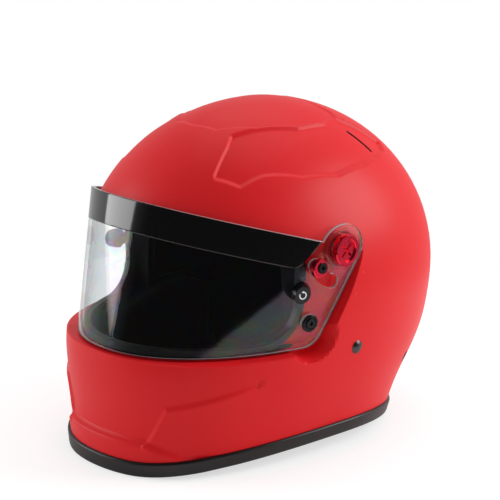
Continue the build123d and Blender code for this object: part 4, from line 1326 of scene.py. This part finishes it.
@dataclass
class Padding:
    """The soft pieces: quilted lining, cheek pads and neck roll.

    The lining's side outline passes the temple and the ear, which are places Y and Z, and ends at its foot's height.
    Each of the cheek's rings is a share of the way from its face to the shell and a share of its corner's radius that
    it is drawn in by. The neck roll is its half width, its reach back, its height and its radius.
    """

    finishes: Finishes
    lining_depth: float = 34.1
    cloth: float = 3.0
    puff: float = 4.0
    seam_pitch: float = 34.0
    seam_width: float = 2.6
    seams_out: float = 2.5
    seam_share: float = 0.75
    edge_round: float = 9.0
    lining_drop: float = 2.7
    temple: Pair = (-36.7, 109.3)
    ear: Pair = (21.3, 109.3)
    lining_foot: float = 44.0
    lining_radii: Numbers = (0, 23, 6, 6, 6, 0, 0, 0)
    lining_cells: tuple[int, int] = (120, 48)
    lining_reaches: Numbers = (40.0, 10.0)
    cheek_line: Corners = ((-88, 24), (16, 24), (16, 104), (-34, 104), (-88, 88))
    cheek_corner: float = 17.0
    cheek_face: float = 62.0
    cheek_gap: float = 5.5
    cheek_middle: Pair = (-34.0, 62.0)
    cheek_rings: Corners = (
        (0.0, 1.6), (0.01, 1.2), (0.03, 0.8), (0.07, 0.45), (0.13, 0.2), (0.24, 0.04), (0.4, 0), (1.0, 0.06),
    )  # fmt: skip
    roll: tuple[float, float, float, float] = (86.7, 100.7, 28.0, 10.0)

    def lining_outline(self) -> Array:
        """Side outline of the lining: above the port, behind it and down to the nape."""
        front, back, foot = self.temple[0], self.ear[0], self.lining_foot
        top = [(y, OUTLINES.edge(y, self.lining_drop)) for y in (-FAR, front)]
        low = [self.temple, self.ear, (back, foot), (FAR, foot), (FAR, FAR), (-FAR, FAR)]
        return round_corners([*top, *low], self.lining_radii)

    def lining_points(self, places: Array, depth: Array | float) -> Array:
        """The shell's smooth form drawn in by a depth."""
        return HELMET.at(places) - np.broadcast_to(depth, len(places))[:, None] * HELMET.normals(places)

    def build_lining(self) -> None:
        """Makes the lining, whose padded channels run from front to back between seams."""
        outline, flat = self.lining_outline(), self.lining_depth + self.cloth

        def edge(places: Array) -> Array:
            """Distance inwards from the lining's edge."""
            return -outline_distance(self.lining_points(places, flat)[:, 1:], outline)[:, None]

        grid = CellGrid(*self.lining_cells, len(self.lining_reaches), closed=True, pole=True)
        grid.refine(lambda places: np.abs(edge(places))[:, 0], self.lining_reaches)
        skin = Skin.cut(grid, edge, 1)
        base = self.lining_points(skin.places, flat)
        seam = np.abs((base[:, 0] + self.seam_pitch / 2) % self.seam_pitch - self.seam_pitch / 2)
        seam = np.where(np.abs(base[:, 0]) < self.seams_out * self.seam_pitch, seam, AWAY)
        full = np.sqrt(ease(edge(skin.places)[:, 0] / self.edge_round))
        full *= 1 - self.seam_share * np.exp(-((seam / self.seam_width) ** 2))
        points = self.lining_points(skin.places, flat + self.puff * full)
        faces = [block[:, ::-1] for block in skin.faces]
        lining = new_object("quilted_lining", points, faces, self.finishes["lining"], sharp=60)
        solidify(lining, self.cloth)
        self.finish(lining, "comfort_liner")

    def finish(self, piece: Piece, node: str) -> None:
        """Hides the node that a soft piece stands for and puts the piece on the helmet's body."""
        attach(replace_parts(piece, node), "helmet")

    def shell_half(self, y: Array) -> Array:
        """Half width inside the shell's lower part at a distance from front to back."""
        u = np.linspace(0, 0.5, 200)
        level = HELMET.at(np.stack([u, np.full(200, 0.12)], 1))
        order = np.argsort(level[:, 1])
        return np.interp(y, level[order, 1], np.abs(level[order, 0])) - self.cheek_gap

    def build_cheek(self, side: Side) -> None:
        """Makes a crowned cushion from its face out to the shell."""
        rings = self.cheek_rings
        outline = round_corners(self.cheek_line, [self.cheek_corner] * len(self.cheek_line), 8)
        middle = np.array(self.cheek_middle)
        shift = outline - middle
        reach = np.linalg.norm(shift, axis=1)[:, None]
        tables = []
        for depth, inset in rings:
            ring = middle + shift * (1 - inset * self.cheek_corner / reach)
            x = self.cheek_face + depth * (self.shell_half(ring[:, 0]) - self.cheek_face)
            tables.append(np.column_stack([side.value * x, ring]))
        count = len(outline)
        points = np.concatenate(tables)
        faces = [grid_faces(len(rings), count, False, True), np.arange(count)[None, ::-1]]
        faces.append((len(rings) - 1) * count + np.arange(count)[None])
        pad = new_object(f"cheek_cushion_{side.word}", points, faces, self.finishes["lining"], sharp=60)
        self.finish(face_outwards(pad), f"cheek_pad_{side.word}")

    def build_roll(self) -> None:
        """Makes the neck roll round the back of the neck opening."""
        half, rear, height, radius = self.roll
        across, along = quarter_curve(np.linspace(0.04, 1, 40), 0.6)
        x = np.concatenate([half * across, -half * across[-2::-1]])
        y = HELMET.widest_y + rear * np.concatenate([along, along[-2::-1]])
        path = np.column_stack([x, y, np.full(len(x), height)])
        out = path - [0, HELMET.widest_y, height]
        turn = np.linspace(0, 2 * np.pi, 28, endpoint=False)
        profile = radius * np.column_stack([np.cos(turn), np.sin(turn)])
        roll = sweep("neck_bolster", path, out, profile, self.finishes["lining"])
        bevel(roll, 3.5, 4, 60)
        self.finish(roll, "neck_roll")

    def build(self) -> None:
        """Makes every soft piece."""
        self.build_lining()
        for side in Side:
            self.build_cheek(side)
        self.build_roll()


@dataclass
class ChinStraps:
    """The two webbing straps: the short one with the rings' loop and the long one with its end folded up.

    The run and the fold are corners seen from the front, across and up. The loop is its height and its radius.
    """

    finishes: Finishes
    width: float = 25.0
    wall: float = 2.2
    middle_y: float = 3.0
    rest: float = 58.5
    run: Corners = ((111, 99), (111, 72), (76, 61.3), (58.5, 47))
    loop: Pair = (31.0, 5.0)
    ply: float = 1.15
    fold: Corners = ((58.5, 12), (51.5, 12), (51.5, 44), (44.5, 44), (44.5, 17))

    def build_strap(self, name: str, corners: Sequence[Sequence[float]], radii: Sequence[float], side: Side) -> None:
        """Makes one strap along corners seen from the front.

        Args:
            name: the CAD node that it takes the place of.
            corners: the corners of its middle line, across and up.
            radii: the bend at each corner.
            side: the side that it hangs on.
        """
        line = round_corners(corners, radii, 8)
        path = np.column_stack([side.value * line[:, 0], np.full(len(line), self.middle_y), line[:, 1]])
        ahead = np.gradient(path, axis=0)
        out = np.column_stack([ahead[:, 2], np.zeros(len(path)), -ahead[:, 0]])
        half, wall = self.width / 2, self.wall / 2
        profile = round_corners(((wall, -half), (wall, half), (-wall, half), (-wall, -half)), [0.8] * 4, 3)
        strap = sweep(name.replace("chin_strap", "webbing"), path, out, profile, self.finishes["webbing"])
        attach(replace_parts(strap, name), "helmet")

    def build(self) -> None:
        """Makes both straps."""
        foot, reach = self.loop
        turn = np.linspace(0, -np.pi, 13)
        loop = [(self.rest + reach * math.cos(t), foot + reach * math.sin(t)) for t in turn]
        near, far = self.rest - self.ply, self.rest + self.ply
        short = [*self.run[:3], (far, 50), *loop, (near, 44), (near, 54)]
        radii = [0, 9, 9, 6, *[0] * len(loop), 4, 0]
        self.build_strap("chin_strap_left", short, radii, Side.LEFT)
        long = [*self.run, *self.fold]
        self.build_strap("chin_strap_right", long, [0, 9, 9, 9, 3.3, 3.3, 3.3, 3.3, 0], Side.RIGHT)


@dataclass
class LatchButtons:
    """The black buttons with a socket that close the visor's corner holes over the latch posts.

    Each of the rings is a radius and how far it stands out from the sheet's face.
    """

    finishes: Finishes
    place: Pair = (-39.5, 114.0)
    count: int = 48
    rings: Corners = (
        (0.01, -2.8), (6.4, -2.8), (6.4, 0.03), (7.0, 0.03), (7.0, 0.5), (6.4, 0.9), (5.0, 0.9), (4.6, 0.3),
        (4.3, 0.3), (4.1, 1.3), (3.7, 1.7), (1.9, 1.7), (1.7, 1.5), (1.7, 0.3), (0.01, 0.3),
    )  # fmt: skip

    def build(self) -> None:
        """Makes one on each side, as rings that follow the sheet's curve."""
        turn = np.linspace(0, 2 * np.pi, self.count, endpoint=False)
        for side in Side:
            tables = []
            for radius, lift in self.rings:
                y = self.place[0] + radius * np.cos(turn)
                z = self.place[1] + radius * np.sin(turn)
                start = np.column_stack([np.full(self.count, side.value * HELMET.half), y, z])
                tables.append(VISOR.drop_onto(start, lift))
            around = np.arange(self.count)[None]
            last = (len(self.rings) - 1) * self.count + around
            faces = [grid_faces(len(self.rings), self.count, False, True), around[:, ::-1], last]
            name = f"latch_button_{side.word}"
            button = face_outwards(new_object(name, np.concatenate(tables), faces, self.finishes["latch"]))
            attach(button, "visor_assembly")


@dataclass
class KnobPrints:
    """The white open ring with an arrowhead on each tear-off knob."""

    finishes: Finishes
    radius: float = 2.7
    half_width: float = 0.38
    start_deg: float = 150.0
    gap_deg: float = 70.0
    head: float = 1.5
    head_half: float = 1.1
    lift: float = 0.03
    top_depth: float = 0.05
    count: int = 40
    axis: tuple[float, float, float] = (0.961199, -0.269488, -0.058923)

    def build(self) -> None:
        """Prints the ring on the top of each knob."""
        for side in Side:
            node = frame["nodes"][f"tear_off_knob_{side.word}"]
            corners = np.empty(len(node.data.vertices) * 3)
            node.data.vertices.foreach_get("co", corners)
            turn = np.array(node.matrix_world)
            corners = (corners.reshape(-1, 3) @ turn[:3, :3].T + turn[:3, 3]) / MM
            self.build_print(side, corners)

    def build_print(self, side: Side, corners: Array) -> None:
        """Makes one print, square to the knob's axis and in the middle of its top."""
        axis = np.array([side.value, 1, 1]) * self.axis
        high = corners @ axis
        top = corners[high > high.max() - self.top_depth]
        middle = (top.max(0) + top.min(0)) / 2
        middle += (high.max() + self.lift - middle @ axis) * axis
        right = np.cross((0, 0, 1), axis)
        right /= np.linalg.norm(right)
        up = np.cross(axis, right)
        start, end = math.radians(self.start_deg), math.radians(self.start_deg + 360 - self.gap_deg)
        radius, half = self.radius, self.head_half
        radii = np.repeat([radius + self.half_width, radius - self.half_width], self.count)
        radii = np.append(radii, [radius + half, radius - half, radius])
        turn = np.append(np.tile(np.linspace(start, end, self.count), 2), [end, end, end + self.head / radius])
        flat = radii[:, None] * np.column_stack([np.cos(turn), np.sin(turn)])
        points = middle + flat[:, :1] * right + flat[:, 1:] * up
        faces = [grid_faces(2, self.count), 2 * self.count + np.arange(3)[None]]
        mark = new_object(f"knob_print_{side.word}", points, faces, self.finishes.print_white)
        mark.data.flip_normals()
        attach(mark, f"knob_{side.word}")


# ---- The studio


@dataclass(frozen=True)
class Studio:
    """A white sweep with soft light from both sides and behind, and a dark side behind the camera."""

    azimuth: float = 47.5
    elevation: float = 15.0
    distance: float = 1.5
    lens: float = 132.48
    target: tuple[float, float, float] = (-0.0046, 0.0030, 0.1416)
    floor_size: float = 0.96
    floor_grey: float = 0.9
    floor_glow: float = 1.25
    diffuse: float = 0.6
    mirrored: Pair = (0.55, 0.05)
    mirrored_from: Pair = (-0.5, 0.3)

    @staticmethod
    def direction(azimuth: float, elevation: float) -> Vector:
        """A direction from degrees round from straight ahead, towards the left, and degrees above level."""
        a, e = math.radians(azimuth), math.radians(elevation)
        return Vector((math.sin(a) * math.cos(e), -math.cos(a) * math.cos(e), math.sin(e)))

    @property
    def towards_camera(self) -> Vector:
        """The direction from the helmet to the camera."""
        return self.direction(self.azimuth, self.elevation)

    def aim(self, piece: Piece, way: Vector, distance: float) -> None:
        """Places a camera or lamp at a distance in metres along a direction, facing the helmet, in the scene."""
        piece.location = Vector(self.target) + distance * way
        piece.rotation_euler = (-way).to_track_quat("-Z", "Y").to_euler()
        bpy.context.scene.collection.objects.link(piece)

    def add_camera(self) -> None:
        """Sets the camera where the photo was taken from."""
        data = bpy.data.cameras.new("camera")
        data.lens, data.sensor_width = self.lens, 36.0
        data.clip_start, data.clip_end = 0.05, 50.0
        camera = bpy.data.objects.new("camera", data)
        self.aim(camera, self.towards_camera, self.distance)
        bpy.context.scene.camera = camera

    def add_world(self) -> None:
        """A white surround: plain to the camera, even to the paint, and dim on the camera's side in reflections.

        The dark side gives the band and the visor their dark faces and the mirror-like edges their contrast.
        """
        world = bpy.data.worlds.new("surround")
        world.use_nodes = True
        bpy.context.scene.world = world
        tree = NodeTree(world.node_tree)
        way = tree.add("ShaderNodeTexCoord").outputs["Generated"]
        dot = tree.add("ShaderNodeVectorMath", {0: way, 1: tuple(self.towards_camera)}, operation="DOT_PRODUCT")
        low, high = self.mirrored_from
        bright, dim = self.mirrored
        mirrored = tree.add("ShaderNodeMapRange", {0: dot.outputs["Value"], 1: low, 2: high, 3: bright, 4: dim})
        rays = tree.add("ShaderNodeLightPath").outputs
        lit = tree.add("ShaderNodeMix", {0: rays["Is Glossy Ray"], 2: self.diffuse, 3: mirrored.outputs[0]})
        strength = tree.add("ShaderNodeMix", {0: rays["Is Camera Ray"], 2: lit.outputs[0], 3: 1.0})
        light = tree.add("ShaderNodeBackground", {0: (1, 1, 1, 1), 1: strength.outputs[0]})
        tree.add("ShaderNodeOutputWorld", {0: light.outputs[0]})

    def add_lamp(self, name: str, azimuth: float, elevation: float, distance: float, size: float, power: float) -> None:
        """Adds a soft square lamp that faces the helmet.

        Args:
            name: the lamp's name.
            azimuth: degrees round from straight ahead of the helmet, towards its left.
            elevation: degrees above level.
            distance: metres from the target.
            size: metres across.
            power: watts.
        """
        data = bpy.data.lights.new(name, "AREA")
        data.shape, data.size, data.energy = "SQUARE", size, power
        lamp = bpy.data.objects.new(name, data)
        self.aim(lamp, self.direction(azimuth, elevation), distance)

    def add_floor(self) -> None:
        """A pale floor that takes the helmet's soft shadow, and glows a little so that the rest of it is white."""
        half = self.floor_size / MM / 2
        points = np.array([(-half, -half, 0), (half, -half, 0), (half, half, 0), (-half, half, 0)], float)
        material, tree = new_material("white_floor")
        matte = tree.add("ShaderNodeBsdfDiffuse", {0: (*[self.floor_grey] * 3, 1)})
        white = tree.add("ShaderNodeEmission", {0: (1, 1, 1, 1), 1: self.floor_glow})
        rays = tree.add("ShaderNodeLightPath").outputs["Is Camera Ray"]
        share = tree.add("ShaderNodeMath", {0: rays, 1: 0.5}, operation="MULTIPLY")
        shader = tree.add("ShaderNodeMixShader", {0: share.outputs[0], 1: matte.outputs[0], 2: white.outputs[0]})
        tree.add("ShaderNodeOutputMaterial", {0: shader.outputs[0]})
        new_object("floor", points, [np.array([[0, 1, 2, 3]])], material)

    def build(self) -> None:
        """Sets up the camera, the lights and the floor."""
        self.add_camera()
        self.add_world()
        self.add_floor()
        self.add_lamp("top", 210, 70, 1.8, 1.6, 8)
        self.add_lamp("left", 138, 25, 1.8, 1.0, 20)
        self.add_lamp("right", -52, 15, 1.8, 1.0, 11)
        bpy.context.scene.view_settings.view_transform = "Standard"


def main() -> None:
    """Builds the scene."""
    logging.basicConfig(level=logging.INFO, format="%(name)s: %(message)s")
    finishes = Finishes()
    finishes.dress_nodes()
    shell = OuterShell(finishes)
    shell.build()
    NeckTrim(finishes, shell).build()
    VisorSheet(finishes).build()
    Padding(finishes).build()
    ChinStraps(finishes).build()
    LatchButtons(finishes).build()
    KnobPrints(finishes).build()
    Studio().build()


if __name__ == "__main__":
    main()
